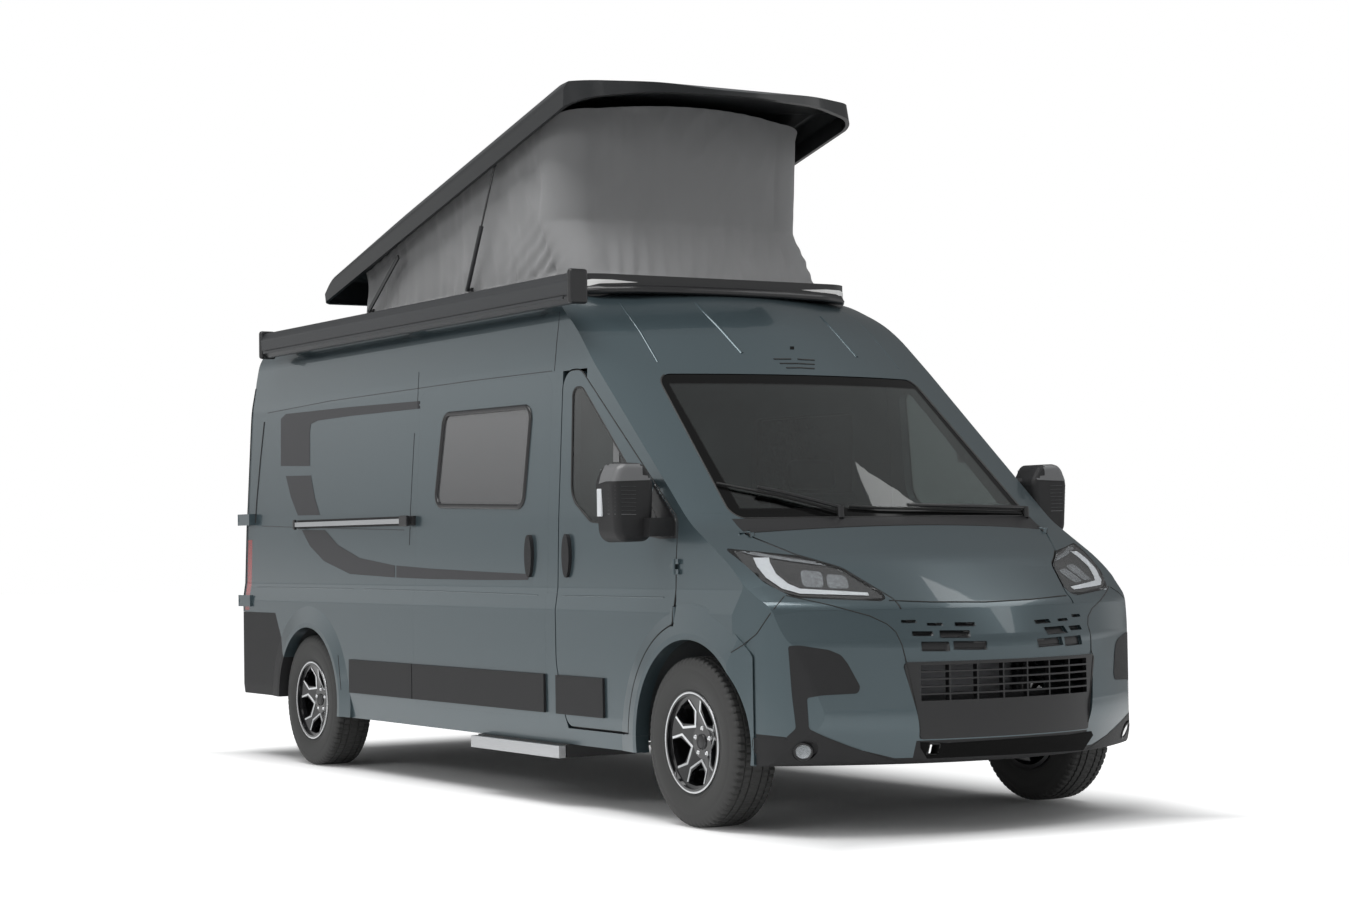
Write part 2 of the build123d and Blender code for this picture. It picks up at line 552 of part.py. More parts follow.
# Bonnet hinge: pins held by the fenders at the bonnet's rear corners
BONNET_HINGE_X = BONNET_REAR_SIDE_X - 2 * MM
corner = outer_plain & block(BONNET_REAR_SIDE_X, BONNET_REAR_SIDE_X + DOOR_GAP, -0.8040 * HALF_BODY, -0.7762 * HALF_BODY, 0.4029 * ROOF_TOP, FAR)
BONNET_HINGE_Z = corner.bounding_box().max.Z - PIN_RADIUS
BONNET_EYE = 7.0
BONNET_PIN_IN = 0.7782 * HALF_BODY
BONNET_PIN_OUT = 0.8297 * HALF_BODY
BONNET_EYE_OUT = 0.7980 * HALF_BODY
pin = rod_y(BONNET_HINGE_X, BONNET_HINGE_Z, PIN_RADIUS, -BONNET_PIN_OUT, -BONNET_PIN_IN)
eye = rod_y(BONNET_HINGE_X, BONNET_HINGE_Z, BONNET_EYE, -BONNET_EYE_OUT, -BONNET_PIN_IN)
eye += block(BONNET_HINGE_X, BONNET_HINGE_X + 5 * BONNET_EYE, -BONNET_EYE_OUT, -BONNET_PIN_IN,
             BONNET_HINGE_Z - BONNET_EYE * 3, BONNET_HINGE_Z)
eye &= block(BONNET_HINGE_X - BONNET_EYE, FAR, -FAR, 0, BONNET_HINGE_Z - BONNET_EYE * 3, FAR)
eye -= rod_y(BONNET_HINGE_X, BONNET_HINGE_Z, PIN_RADIUS + RUNNING, -FAR, 0)
pocket = block(BONNET_HINGE_X - BONNET_EYE - POCKET_GAP, BONNET_HINGE_X + 5 * BONNET_EYE, -FAR, -BONNET_PIN_IN + POCKET_GAP,
               BONNET_HINGE_Z - BONNET_EYE * 3 - POCKET_GAP, FAR)
cowl -= pocket + mirrored(pocket)
bonnet = bonnet + eye + mirrored(eye)
fender -= block(BONNET_HINGE_X - BONNET_EYE, BONNET_HINGE_X + 5 * BONNET_EYE + POCKET_GAP, -BONNET_EYE_OUT - POCKET_GAP, 0,
                BONNET_HINGE_Z - BONNET_EYE * 3 - POCKET_GAP, BONNET_HINGE_Z + BONNET_EYE)
fender += pin

# Grille panel and slots in the front bumper
GRILLE_SHARES = ((-0.5000, 0.2853, 0.0081), (0.5000, 0.2853, 0.0081), (0.4356, 0.1587, 0.0056), (-0.4356, 0.1587, 0.0056))
GRILLE_DEPTH = 26.0
GRILLE_RECESS = 20.0
GRILLE_SAG = 94.0
GRILLE_SHARES_OPEN = ((-0.4356, 0.2200), (0.4356, 0.2812))
GRILLE_COLUMNS = 7
GRILLE_ROWS = 5
GRILLE_BAR = 7.0
bumper -= front_cut(GRILLE_SHARES, 0.8670 * HALF_LENGTH, FAR)
front_x = HALF_LENGTH - GRILLE_RECESS
half_w = 0.5000 * HALF_BODY


def sagged_plate(x_front, depth, z_low, z_high):
    """A plate bowed in plan, its middle at x_front."""
    end = half_w + OVERRUN
    sag = GRILLE_SAG * (end / half_w) ** 2
    outer_arc = ThreePointArc((x_front - sag, -end), (x_front, 0), (x_front - sag, end))
    inner_arc = ThreePointArc((x_front - sag - depth, end), (x_front - depth, 0), (x_front - sag - depth, -end))
    sides = [
        Line((x_front - sag, end), (x_front - sag - depth, end)),
        Line((x_front - sag - depth, -end), (x_front - sag, -end)),
    ]
    face = make_face([outer_arc, sides[0], inner_arc, sides[1]])
    return extrude(Plane.XY.offset(z_low) * face, amount=z_high - z_low)


grille = sagged_plate(front_x, GRILLE_DEPTH, 0.1531 * ROOF_TOP, 0.2901 * ROOF_TOP) & front_cut(GRILLE_SHARES, 0.8670 * HALF_LENGTH, FAR, -SEAT_GAP)
(gy0, gz0), (gy1, gz1) = front_points(GRILLE_SHARES_OPEN)
cell_w, cell_h = (gy1 - gy0) / GRILLE_COLUMNS, (gz1 - gz0) / GRILLE_ROWS
cells = []
for i in range(GRILLE_COLUMNS):
    for j in range(GRILLE_ROWS):
        y0, z0 = gy0 + i * cell_w, gz0 + j * cell_h
        cells.append(block(0.8670 * HALF_LENGTH, FAR, y0 + GRILLE_BAR / 2, y0 + cell_w - GRILLE_BAR / 2,
                           z0 + GRILLE_BAR / 2, z0 + cell_h - GRILLE_BAR / 2))
grille -= cells

# Sunk air slots beside the name place: y and z shares of their four corners, right side
NOSE_SLOTS_SHARES = (
    ((-0.4673, 0.3537), (-0.4079, 0.3533), (-0.4119, 0.3485), (-0.4713, 0.3493)),
    ((-0.3663, 0.3481), (-0.3010, 0.3473), (-0.3059, 0.3429), (-0.3693, 0.3437)),
    ((-0.2455, 0.3481), (-0.1545, 0.3469), (-0.1624, 0.3409), (-0.2525, 0.3417)),
    ((-0.4396, 0.3352), (-0.3554, 0.3344), (-0.3624, 0.3268), (-0.4455, 0.3276)),
    ((-0.3248, 0.3356), (-0.1931, 0.3344), (-0.2059, 0.3223), (-0.3366, 0.3235)),
    ((-0.4168, 0.3183), (-0.3010, 0.3171), (-0.3059, 0.3014), (-0.4218, 0.3026)),
    ((-0.2822, 0.3179), (-0.1307, 0.3159), (-0.1356, 0.3018), (-0.2881, 0.3038)),
)
SLOT_DEPTH = 14.0
slot_floor = hull(SLOT_DEPTH)
for table in NOSE_SLOTS_SHARES:
    slot = front_prism(front_points(table), 0.0, 0.8670 * HALF_LENGTH, FAR) - slot_floor
    bumper -= [slot, mirrored(slot)]

# Black lower cladding with round fog lamps
CLADDING_SHARES = (
    (-1.0891, 0.1773), (-0.7921, 0.1591), (-0.5149, 0.1281), (-0.4455, 0.1281), (-0.4455, 0.1563), (0.4455, 0.1563), (0.4455, 0.1281), (0.5149, 0.1281),
    (0.7921, 0.1591), (1.0891, 0.1773), (1.0891, -0.0403), (-1.0891, -0.0403),
)
FOG_Y = 0.8416 * HALF_BODY
FOG_Z = 0.1434 * ROOF_TOP
FOG_RADIUS = 42.0
CLADDING_REAR_X = 0.8349 * HALF_LENGTH
cladding_prism = front_prism(front_points(CLADDING_SHARES), 0.0, CLADDING_REAR_X, FAR, SEAM / 2)
bumper_cladding = bumper & cladding_prism
fog_seat = rod_x(-FOG_Y, FOG_Z, FOG_RADIUS, CLADDING_REAR_X, FAR) - slot_floor
bumper_cladding -= [fog_seat, mirrored(fog_seat)]
TOW_RADIUS = 9.0
TOW_OUT = 20.0
TOW_COVER_HALF = 3 * TOW_OUT
TOW_Y = -0.3663 * HALF_BODY
TOW_Z = 0.1410 * ROOF_TOP
TOW_LENGTH = 45.0
bumper_cladding -= block(CLADDING_REAR_X, FAR, TOW_Y - TOW_OUT, TOW_Y + TOW_OUT, TOW_Z - TOW_OUT, TOW_Z + TOW_OUT)
# The frame round the towing eye's opening is a moulding of its own
for side in (-1, 1):
    joint = TOW_Y + side * TOW_COVER_HALF
    bumper_cladding -= block(CLADDING_REAR_X, FAR, joint - SEAM / 2, joint + SEAM / 2, 0, FAR)
bumper_cladding = Compound(list(bumper_cladding.solids()))
bumper -= front_prism(front_points(CLADDING_SHARES), 0.0, CLADDING_REAR_X - SEAM, FAR, -SEAM / 2)

# Wheels, built at their own centre with the outer face towards -y
TREAD_WIDTH = 186.0
BEAD_WIDTH = 190.0
RIM_FLANGE = 216.0
RIM_WALL = 8.0
DISC_OFFSET = 50.0
DISC_DEPTH = 22.0
HUB_RADIUS = 72.0
SPINDLE_RADIUS = 32.0
GROOVE_WIDTH = 9.0
GROOVE_DEPTH = 8.0
GROOVE_STEP = 42.0
SPOKES = 5
TYRE_SHARES = (
    (0.569, 0.420), (0.600, 0.430), (0.790, 0.500), (0.935, 0.470), (1.000, 0.400),
)


def y_revolve(points):
    """A ring turned about the y axis from radius and width points."""
    face = make_face(Polyline(*[(r, w) for r, w in points], close=True))
    return revolve(Plane.XY * face, Axis((0, 0, 0), (0, 1, 0)))


half = [(r * TYRE_RADIUS, w * TYRE_WIDTH) for r, w in TYRE_SHARES]
half[0] = (RIM_RADIUS, half[0][1])
tyre = y_revolve(half + [(r, -w) for r, w in reversed(half)])
for k in (-1, 0, 1):
    w0 = k * GROOVE_STEP
    tyre -= y_revolve([
        (TYRE_RADIUS - GROOVE_DEPTH, w0 - GROOVE_WIDTH / 2), (FAR, w0 - GROOVE_WIDTH / 2),
        (FAR, w0 + GROOVE_WIDTH / 2), (TYRE_RADIUS - GROOVE_DEPTH, w0 + GROOVE_WIDTH / 2),
    ])
seat = RIM_RADIUS - SEAT_GAP
flange_w = half[1][1] + SEAT_GAP
rim = y_revolve([
    (seat - RIM_WALL, -flange_w - RIM_WALL), (RIM_FLANGE, -flange_w - RIM_WALL), (RIM_FLANGE, -flange_w),
    (seat, -flange_w), (seat, flange_w), (RIM_FLANGE, flange_w), (RIM_FLANGE, flange_w + RIM_WALL),
    (seat - RIM_WALL, flange_w + RIM_WALL),
])
rim_disc = y_revolve([
    (0, -DISC_OFFSET), (HUB_RADIUS, -DISC_OFFSET), (seat - RIM_WALL / 2, -flange_w + RIM_WALL),
    (seat - RIM_WALL / 2, -flange_w + RIM_WALL + DISC_DEPTH), (HUB_RADIUS, DISC_DEPTH - DISC_OFFSET + RIM_WALL), (0, DISC_DEPTH - DISC_OFFSET + RIM_WALL),
])
WINDOW_SHARES = ((0.43, 0.00), (0.62, 0.26), (0.86, 0.30), (0.90, 0.00), (0.86, -0.30), (0.62, -0.26))
WINDOW_CORNER = 9.0
window_outline = [(r * RIM_RADIUS, t * RIM_RADIUS) for r, t in WINDOW_SHARES]
hole = side_prism(window_outline, WINDOW_CORNER, -TYRE_WIDTH, TYRE_WIDTH)
for k in range(SPOKES):
    rim_disc -= Rot(0, 90 + k * 360 / SPOKES, 0) * hole
rim = rim + rim_disc
rim -= rod_y(0, 0, SPINDLE_RADIUS, -DISC_OFFSET + RIM_WALL, FAR)
for name, x, track in (("front", FRONT_AXLE_X, FRONT_TRACK), ("rear", REAR_AXLE_X, REAR_TRACK)):
    place = Pos(x, -track / 2, AXLE_Z)
    keep(f"tyre_{name}_right", place * tyre)
    keep(f"rim_{name}_right", place * rim)
    keep(f"tyre_{name}_left", mirrored(place * tyre))
    keep(f"rim_{name}_left", mirrored(place * rim))

# Steered knuckles with brake drums
KINGPIN_OUT = 150.0
KINGPIN_Y = FRONT_TRACK / 2 - KINGPIN_OUT
UPRIGHT_WIDTH = 64.0
UPRIGHT_DEPTH = 34.0
BALL_LOW_Z = AXLE_Z - 118 * MM
BALL_HIGH_Z = AXLE_Z + 118 * MM
BALL_PIN = 12.0
BALL_PIN_LENGTH = 40.0
DRUM_RADIUS = 142.0
DRUM_IN = 32.0
DRUM_OUT = 72.0
spindle_end = -DISC_OFFSET + RIM_WALL + 2 * MM


def hub_parts(x, track, y_inner):
    """The spindle and brake drum of one right-hand wheel, inboard to y_inner."""
    centre = -track / 2
    form = rod_y(x, AXLE_Z, SPINDLE_RADIUS - RUNNING, centre + spindle_end, -y_inner)
    form += rod_y(x, AXLE_Z, DRUM_RADIUS, centre + DRUM_IN, centre + DRUM_OUT)
    return form


knuckle = hub_parts(FRONT_AXLE_X, FRONT_TRACK, KINGPIN_Y)
knuckle += block(FRONT_AXLE_X - UPRIGHT_WIDTH / 2, FRONT_AXLE_X + UPRIGHT_WIDTH / 2,
                 -KINGPIN_Y - UPRIGHT_DEPTH / 2, -KINGPIN_Y + UPRIGHT_DEPTH / 2, BALL_LOW_Z, BALL_HIGH_Z)
knuckle += rod_z(FRONT_AXLE_X, -KINGPIN_Y, BALL_PIN, BALL_LOW_Z - BALL_PIN_LENGTH, BALL_HIGH_Z + BALL_PIN_LENGTH)
keep("knuckle_right", knuckle)
keep("knuckle_left", mirrored(knuckle))

# Floor, wheel housings and bulkhead
FLOOR_Z = 0.2015 * ROOF_TOP
FLOOR_THICK = 40.0
FLOOR_REAR_X = -0.9687 * HALF_LENGTH
FLOOR_HALF = 0.9366 * HALF_BODY
FOOTWELL_HALF = 0.5396 * HALF_BODY
FOOTWELL_X = 0.5202 * HALF_LENGTH
BULKHEAD_X = 0.6619 * HALF_LENGTH
BULKHEAD_THICK = 20.0
BULKHEAD_TOP_Z = 0.4754 * ROOF_TOP
HOUSING_IN_FRONT = 0.5594 * HALF_BODY
HOUSING_IN_REAR = 0.7446 * HALF_BODY
HOUSING_WALL = 6.0
FRONT_HOUSING_RADIUS = 462.0
REAR_HOUSING_RADIUS = 428.0
floor_outline = [
    (FLOOR_REAR_X, -FLOOR_HALF), (FOOTWELL_X, -FLOOR_HALF), (FOOTWELL_X, -FOOTWELL_HALF),
    (BULKHEAD_X, -FOOTWELL_HALF), (BULKHEAD_X, FOOTWELL_HALF), (FOOTWELL_X, FOOTWELL_HALF),
    (FOOTWELL_X, FLOOR_HALF), (FLOOR_REAR_X, FLOOR_HALF),
]
floor_pan = plan_prism(floor_outline, 0.0, FLOOR_Z, FLOOR_Z + FLOOR_THICK)
STRUT_HOLE = 36.0
WHEEL_BAY = (
    (FRONT_AXLE_X, FRONT_HOUSING_RADIUS, HOUSING_IN_FRONT),
    (REAR_AXLE_X, REAR_HOUSING_RADIUS, HOUSING_IN_REAR),
)
BULKHEAD_WIDE_Z = AXLE_Z + FRONT_HOUSING_RADIUS + 2 * HOUSING_WALL
bulkhead_outline = [
    (-FOOTWELL_HALF, FLOOR_Z), (FOOTWELL_HALF, FLOOR_Z), (FOOTWELL_HALF, BULKHEAD_WIDE_Z),
    (0.8713 * HALF_BODY, BULKHEAD_WIDE_Z), (0.8713 * HALF_BODY, BULKHEAD_TOP_Z), (-0.8713 * HALF_BODY, BULKHEAD_TOP_Z),
    (-0.8713 * HALF_BODY, BULKHEAD_WIDE_Z), (-FOOTWELL_HALF, BULKHEAD_WIDE_Z),
]
floor_pan += front_prism(bulkhead_outline, 0.0, BULKHEAD_X, BULKHEAD_X + BULKHEAD_THICK)
TOWER_Z = 0.4029 * ROOF_TOP
TOWER_PLATE = 12.0
tower = block(BULKHEAD_X, FRONT_AXLE_X + UPRIGHT_WIDTH, -0.8515 * HALF_BODY, -0.6337 * HALF_BODY, TOWER_Z, TOWER_Z + TOWER_PLATE)
floor_pan += tower + mirrored(tower)
for x, radius, y_in in WHEEL_BAY:
    bay = rod_y(x, AXLE_Z, radius + HOUSING_WALL, -FLOOR_HALF, -y_in)
    floor_pan -= bay + mirrored(bay)
    skin = bay - rod_y(x, AXLE_Z, radius, -FLOOR_HALF - OVERRUN, -y_in - HOUSING_WALL)
    skin &= block(-FAR, FAR, -FAR, 0, FLOOR_Z if x < 0 else AXLE_Z, FAR)
    if x > 0:
        skin -= rod_y(x, AXLE_Z, radius, -FAR, 0)
        skin += block(FOOTWELL_X - HOUSING_WALL, FOOTWELL_X + 3 * HOUSING_WALL, -FLOOR_HALF, -FOOTWELL_HALF, FLOOR_Z, FLOOR_Z + FLOOR_THICK)
        skin -= rod_y(x, AXLE_Z, radius, -FAR, 0)
        skin += block(BULKHEAD_X, BULKHEAD_X + BULKHEAD_THICK, -HOUSING_IN_FRONT - HOUSING_WALL, -FOOTWELL_HALF, AXLE_Z + radius, BULKHEAD_WIDE_Z)
    skin &= inner
    floor_pan += skin + mirrored(skin)

# Underframe: rails, outriggers, cross beams and the rear end beam
RAIL_IN = 0.4257 * HALF_BODY
RAIL_OUT = 0.4851 * HALF_BODY
RAIL_HEIGHT = 100.0
RAIL_FRONT_X = 0.9136 * HALF_LENGTH
RAIL_REAR_X = -0.9603 * HALF_LENGTH
rail_top = FLOOR_Z - SEAT_GAP
rail_low = rail_top - RAIL_HEIGHT
BEAM_WIDTH = 60.0
rail = block(RAIL_REAR_X + BEAM_WIDTH + SEAT_GAP, RAIL_FRONT_X - BEAM_WIDTH - SEAT_GAP, -RAIL_OUT, -RAIL_IN, rail_low, rail_top)
frame_parts = [rail, mirrored(rail)]
BEAM_XS = tuple(share * HALF_LENGTH for share in (-0.800, -0.350, 0.020, 0.300, 0.500))
for x in BEAM_XS:
    frame_parts.append(block(x, x + BEAM_WIDTH, -RAIL_IN + SEAT_GAP, RAIL_IN - SEAT_GAP, rail_low, rail_top))
OUTRIGGER_XS = tuple(share * HALF_LENGTH for share in (-0.450, -0.200, 0.020, 0.300, 0.480))
for x in OUTRIGGER_XS:
    arm = block(x, x + BEAM_WIDTH, -HALF_BODY, -RAIL_OUT - SEAT_GAP, 0.1330 * ROOF_TOP, rail_low + BEAM_WIDTH / 2) & inner
    frame_parts += [arm, mirrored(arm)]
END_HALF = 0.8911 * HALF_BODY
end_beam = block(-HALF_LENGTH, RAIL_REAR_X + BEAM_WIDTH, -END_HALF, END_HALF, rail_low, rail_top) & inner
HITCH_HOLE = 6.5
HITCH_Y = 45.0
HITCH_Z = 25.0
hitch_z = (rail_low + rail_top) / 2
for y in (-HITCH_Y, HITCH_Y):
    for z in (hitch_z - HITCH_Z, hitch_z + HITCH_Z):
        end_beam -= rod_x(y, z, HITCH_HOLE, -FAR, 0)
frame_parts.append(end_beam)
front_beam = block(RAIL_FRONT_X - BEAM_WIDTH, RAIL_FRONT_X, -0.6337 * HALF_BODY, 0.6337 * HALF_BODY, rail_low, rail_top + BEAM_WIDTH)
front_beam += block(RAIL_FRONT_X - BEAM_WIDTH, RAIL_FRONT_X, TOW_Y - 2 * TOW_OUT, TOW_Y + 2 * TOW_OUT, TOW_Z - 2 * TOW_OUT, rail_top)
front_beam += rod_x(TOW_Y, TOW_Z, TOW_OUT, RAIL_FRONT_X - MM, RAIL_FRONT_X + TOW_LENGTH)
front_beam -= rod_x(TOW_Y, TOW_Z, TOW_RADIUS, RAIL_FRONT_X - BEAM_WIDTH / 2, FAR)
frame_parts.append(front_beam)
strut_hole = rod_z(FRONT_AXLE_X, -KINGPIN_Y, STRUT_HOLE, FLOOR_Z, TOWER_Z - MM)
floor_pan -= strut_hole + mirrored(strut_hole)
keep("floor_pan", floor_pan)
keep("underframe", Compound([solid for form in frame_parts for solid in form.solids()]))

# Front suspension: subframe, lower arms and struts
SUBFRAME_HALF_X = 110.0
SUBFRAME_DEPTH = 70.0
ARM_RADIUS = 20.0
SLEEVE_RADIUS = 27.0
STRUT_RADIUS = 24.0
suspension = block(FRONT_AXLE_X - SUBFRAME_HALF_X, FRONT_AXLE_X + SUBFRAME_HALF_X, -RAIL_OUT, RAIL_OUT,
                   rail_low - SEAT_GAP - SUBFRAME_DEPTH, rail_low - SEAT_GAP)
arm_z = rail_low - SUBFRAME_DEPTH / 2
ball_eye = rod_z(FRONT_AXLE_X, -KINGPIN_Y, SLEEVE_RADIUS, BALL_LOW_Z - BALL_PIN_LENGTH, BALL_LOW_Z - MM)
lower = bar((FRONT_AXLE_X - SUBFRAME_HALF_X / 2, -RAIL_OUT + BEAM_WIDTH / 2, arm_z),
            (FRONT_AXLE_X, -KINGPIN_Y, BALL_LOW_Z - BALL_PIN_LENGTH), ARM_RADIUS / 2)
lower += bar((FRONT_AXLE_X + SUBFRAME_HALF_X / 2, -RAIL_OUT + BEAM_WIDTH / 2, arm_z),
             (FRONT_AXLE_X, -KINGPIN_Y, BALL_LOW_Z - BALL_PIN_LENGTH), ARM_RADIUS / 2)
lower += ball_eye
lower -= rod_z(FRONT_AXLE_X, -KINGPIN_Y, BALL_PIN + RUNNING, 0, BALL_LOW_Z)
strut = rod_z(FRONT_AXLE_X, -KINGPIN_Y, SLEEVE_RADIUS, BALL_HIGH_Z + MM, BALL_HIGH_Z + 3 * BALL_PIN_LENGTH)
strut += rod_z(FRONT_AXLE_X, -KINGPIN_Y, STRUT_RADIUS, BALL_HIGH_Z + 2 * BALL_PIN_LENGTH, TOWER_Z)
strut -= rod_z(FRONT_AXLE_X, -KINGPIN_Y, BALL_PIN + RUNNING, 0, BALL_HIGH_Z + BALL_PIN_LENGTH + MM)
suspension += lower + mirrored(lower)
keep("front_suspension", Compound(list(suspension.solids()) + list(strut.solids()) + list(mirrored(strut).solids())))

# Rear axle beam on leaf springs
BEAM_RADIUS = 34.0
SPRING_IN = 0.5149 * HALF_BODY
SPRING_OUT = 0.5743 * HALF_BODY
SPRING_THICK = 28.0
SPRING_FRONT_X = REAR_AXLE_X + 560 * MM
SPRING_REAR_X = REAR_AXLE_X - 560 * MM
HANGER_LENGTH = 60.0
spring_z = AXLE_Z - BEAM_RADIUS
rear_axle = rod_y(REAR_AXLE_X, AXLE_Z, BEAM_RADIUS, -REAR_TRACK / 2 + DRUM_OUT, REAR_TRACK / 2 - DRUM_OUT)
hub = hub_parts(REAR_AXLE_X, REAR_TRACK, REAR_TRACK / 2 - DRUM_OUT - BEAM_RADIUS)
spring = block(SPRING_REAR_X, SPRING_FRONT_X, -SPRING_OUT, -SPRING_IN, spring_z - SPRING_THICK, spring_z + MM)
for x in (SPRING_REAR_X, SPRING_FRONT_X - HANGER_LENGTH):
    spring += block(x, x + HANGER_LENGTH, -SPRING_OUT, -SPRING_IN, spring_z, rail_top)
rear_axle += hub + mirrored(hub) + spring + mirrored(spring)
keep("rear_axle", rear_axle)

# Engine, tanks
engine = block(0.6919 * HALF_LENGTH, 0.8536 * HALF_LENGTH, -0.3267 * HALF_BODY, 0.3267 * HALF_BODY, 0.1732 * ROOF_TOP, 0.4029 * ROOF_TOP)
engine = fillet(engine.edges().filter_by(Axis.Z), OVERRUN / 2)
for x in (0.7069 * HALF_LENGTH, 0.8136 * HALF_LENGTH):
    engine += block(x, x + BEAM_WIDTH, -RAIL_IN + SEAT_GAP, RAIL_IN - SEAT_GAP, 0.1773 * ROOF_TOP, 0.1934 * ROOF_TOP)
keep("engine", engine)
TANKS = (
    (0.0667 * HALF_LENGTH, 0.2868 * HALF_LENGTH, 0.0891 * HALF_BODY, 0.4208 * HALF_BODY, 0.1209 * ROOF_TOP),
    (-0.3201 * HALF_LENGTH, -0.1200 * HALF_LENGTH, -0.4208 * HALF_BODY, 0.4208 * HALF_BODY, 0.1289 * ROOF_TOP),
)
tank_solids = []
for x0, x1, y0, y1, z0 in TANKS:
    tank = block(x0, x1, y0, y1, z0, FLOOR_Z - SEAT_GAP)
    tank_solids.append(fillet(tank.edges().filter_by(Axis.Z), OVERRUN / 2).solid())
keep("tanks", Compound(tank_solids))

# Cab: dashboard with steering column, steering wheel, seats
DASH_SHARES = (
    (0.6616, 0.4706, 0.0000), (0.6616, 0.3425, 0.0000), (0.6002, 0.3425, 0.0161), (0.5735, 0.3948, 0.0242), (0.5669, 0.4472, 0.0201), (0.6202, 0.4855, 0.0242),
)
DASH_HALF = 0.8594 * HALF_BODY
dash_points = side_points(DASH_SHARES)
dash_points = [(min(x, BULKHEAD_X - SEAT_GAP), z) for x, z in dash_points]
dashboard = side_prism(dash_points, [row[2] * ROOF_TOP for row in DASH_SHARES], -DASH_HALF, DASH_HALF)
WHEEL_Y = 0.4257 * HALF_BODY
COLUMN_START = (0.5869 * HALF_LENGTH, WHEEL_Y, 0.4110 * ROOF_TOP)
COLUMN_TILT_DEG = 28.0
COLUMN_LENGTH = 190.0
COLUMN_RADIUS = 24.0
STEER_PIN = 11.0
STEER_PIN_LENGTH = 26.0
STEER_RADIUS = 188.0
STEER_RIM = 14.0
tilt = math.radians(COLUMN_TILT_DEG)
column_dir = Vector(-math.cos(tilt), 0, math.sin(tilt))
start = Vector(*COLUMN_START)
hub_at = start + column_dir * COLUMN_LENGTH
dashboard += bar(tuple(start), tuple(hub_at), COLUMN_RADIUS)
dashboard += bar(tuple(start), tuple(hub_at + column_dir * STEER_PIN_LENGTH), STEER_PIN)
keep("dashboard", dashboard)
wheel_plane = Plane(hub_at + column_dir * MM, z_dir=column_dir)
steering = wheel_plane * Pos(0, 0, STEER_RIM) * Torus(STEER_RADIUS, STEER_RIM)
steering += wheel_plane * Pos(0, 0, STEER_RIM) * Cylinder(3 * STEER_RIM, 2 * STEER_RIM)
for angle in (0, 120, 240):
    spoke = Rot(0, 0, angle) * Pos(STEER_RADIUS / 2, 0, STEER_RIM) * Box(STEER_RADIUS, 2 * STEER_RIM, STEER_RIM)
    steering += wheel_plane * spoke
steering -= wheel_plane * Cylinder(STEER_PIN + RUNNING, 2 * STEER_PIN_LENGTH)
keep("steering_wheel", steering)

SEAT_Y = 0.4257 * HALF_BODY
SEAT_HALF = 245.0
SEAT_SHARES = (
    (0.3201, 0.2820, 0.0081), (0.4935, 0.2981, 0.0201), (0.4968, 0.3465, 0.0201), (0.3535, 0.3425, 0.0242), (0.3151, 0.5641, 0.0161), (0.3118, 0.6446, 0.0201),
    (0.2718, 0.6446, 0.0201), (0.2768, 0.5641, 0.0161), (0.3101, 0.3062, 0.0161),
)
seat = side_prism(side_points(SEAT_SHARES), [row[2] * ROOF_TOP for row in SEAT_SHARES], -SEAT_Y - SEAT_HALF, -SEAT_Y + SEAT_HALF)
SEAT_BASE_INSET = 60.0
seat += block(0.3368 * HALF_LENGTH, 0.4735 * HALF_LENGTH, -SEAT_Y - SEAT_HALF + SEAT_BASE_INSET, -SEAT_Y + SEAT_HALF - SEAT_BASE_INSET,
              FLOOR_Z + FLOOR_THICK + SEAT_GAP, 0.3143 * ROOF_TOP)
keep("front_seats", both(seat))

# Cab door fittings: mirror, handle and side trim
TRIM_PROUD = 11.0
TRIM_LOW_Z = 0.1724 * ROOF_TOP
TRIM_HIGH_Z = 0.2442 * ROOF_TOP
HANDLE_Z = 0.4654 * ROOF_TOP
HANDLE_HALF_X = 34.0
HANDLE_HALF_Z = 100.0
HANDLE_PROUD = 24.0


def side_trim(x0, x1, z0, z1, proud):
    """A strip on the right-hand skin, proud of it."""
    strip = block(x0, x1, -HALF_BODY - proud, -HALF_BODY / 2, z0, z1)
    return strip - outer


def handle(x):
    """An upright oval door handle on the right-hand skin."""
    oval = Plane((x, -HALF_BODY, HANDLE_Z), x_dir=(1, 0, 0), z_dir=(0, -1, 0)) * Ellipse(HANDLE_HALF_X, HANDLE_HALF_Z)
    return (extrude(oval, amount=-WALL) & block(-FAR, FAR, -HALF_BODY + 3 * MM, 0, -FAR, FAR)) - outer


MIRROR_X0, MIRROR_X1 = 0.5642 * HALF_LENGTH, 0.6162 * HALF_LENGTH
MIRROR_SHARES = (
    (-1.0495, 0.4899, 0.0185), (-1.2238, 0.4883, 0.0242), (-1.2396, 0.5923, 0.0363), (-1.2000, 0.6269, 0.0250), (-1.0812, 0.6253, 0.0201), (-1.0356, 0.5923, 0.0242),
)
MIRROR_ROUND = 30.0
MIRROR_FOOT = (0.5985 * HALF_LENGTH, 0.6352 * HALF_LENGTH, 0.9505 * HALF_BODY, 1.0990 * HALF_BODY, 0.4980 * ROOF_TOP, 0.5302 * ROOF_TOP)
MIRROR_STAY = ((0.5885 * HALF_LENGTH, -1.0891 * HALF_BODY, 0.5923 * ROOF_TOP), (0.5519 * HALF_LENGTH, -0.9406 * HALF_BODY, 0.5923 * ROOF_TOP))
MIRROR_STAY_R = 20.0
head = front_cut(MIRROR_SHARES, MIRROR_X0, MIRROR_X1)
head = fillet(head.faces().sort_by(Axis.X)[-1].edges(), MIRROR_ROUND)
ax0, ax1, ay0, ay1, az0, az1 = MIRROR_FOOT
arms = block(ax0, ax1, -ay1, -ay0, az0, az1) + bar(*MIRROR_STAY, MIRROR_STAY_R)
mirror_form = head + (arms - outer)
CAB_TRIM_X0 = 0.2948 * HALF_LENGTH
CAB_TRIM_X1 = 0.4408 * HALF_LENGTH
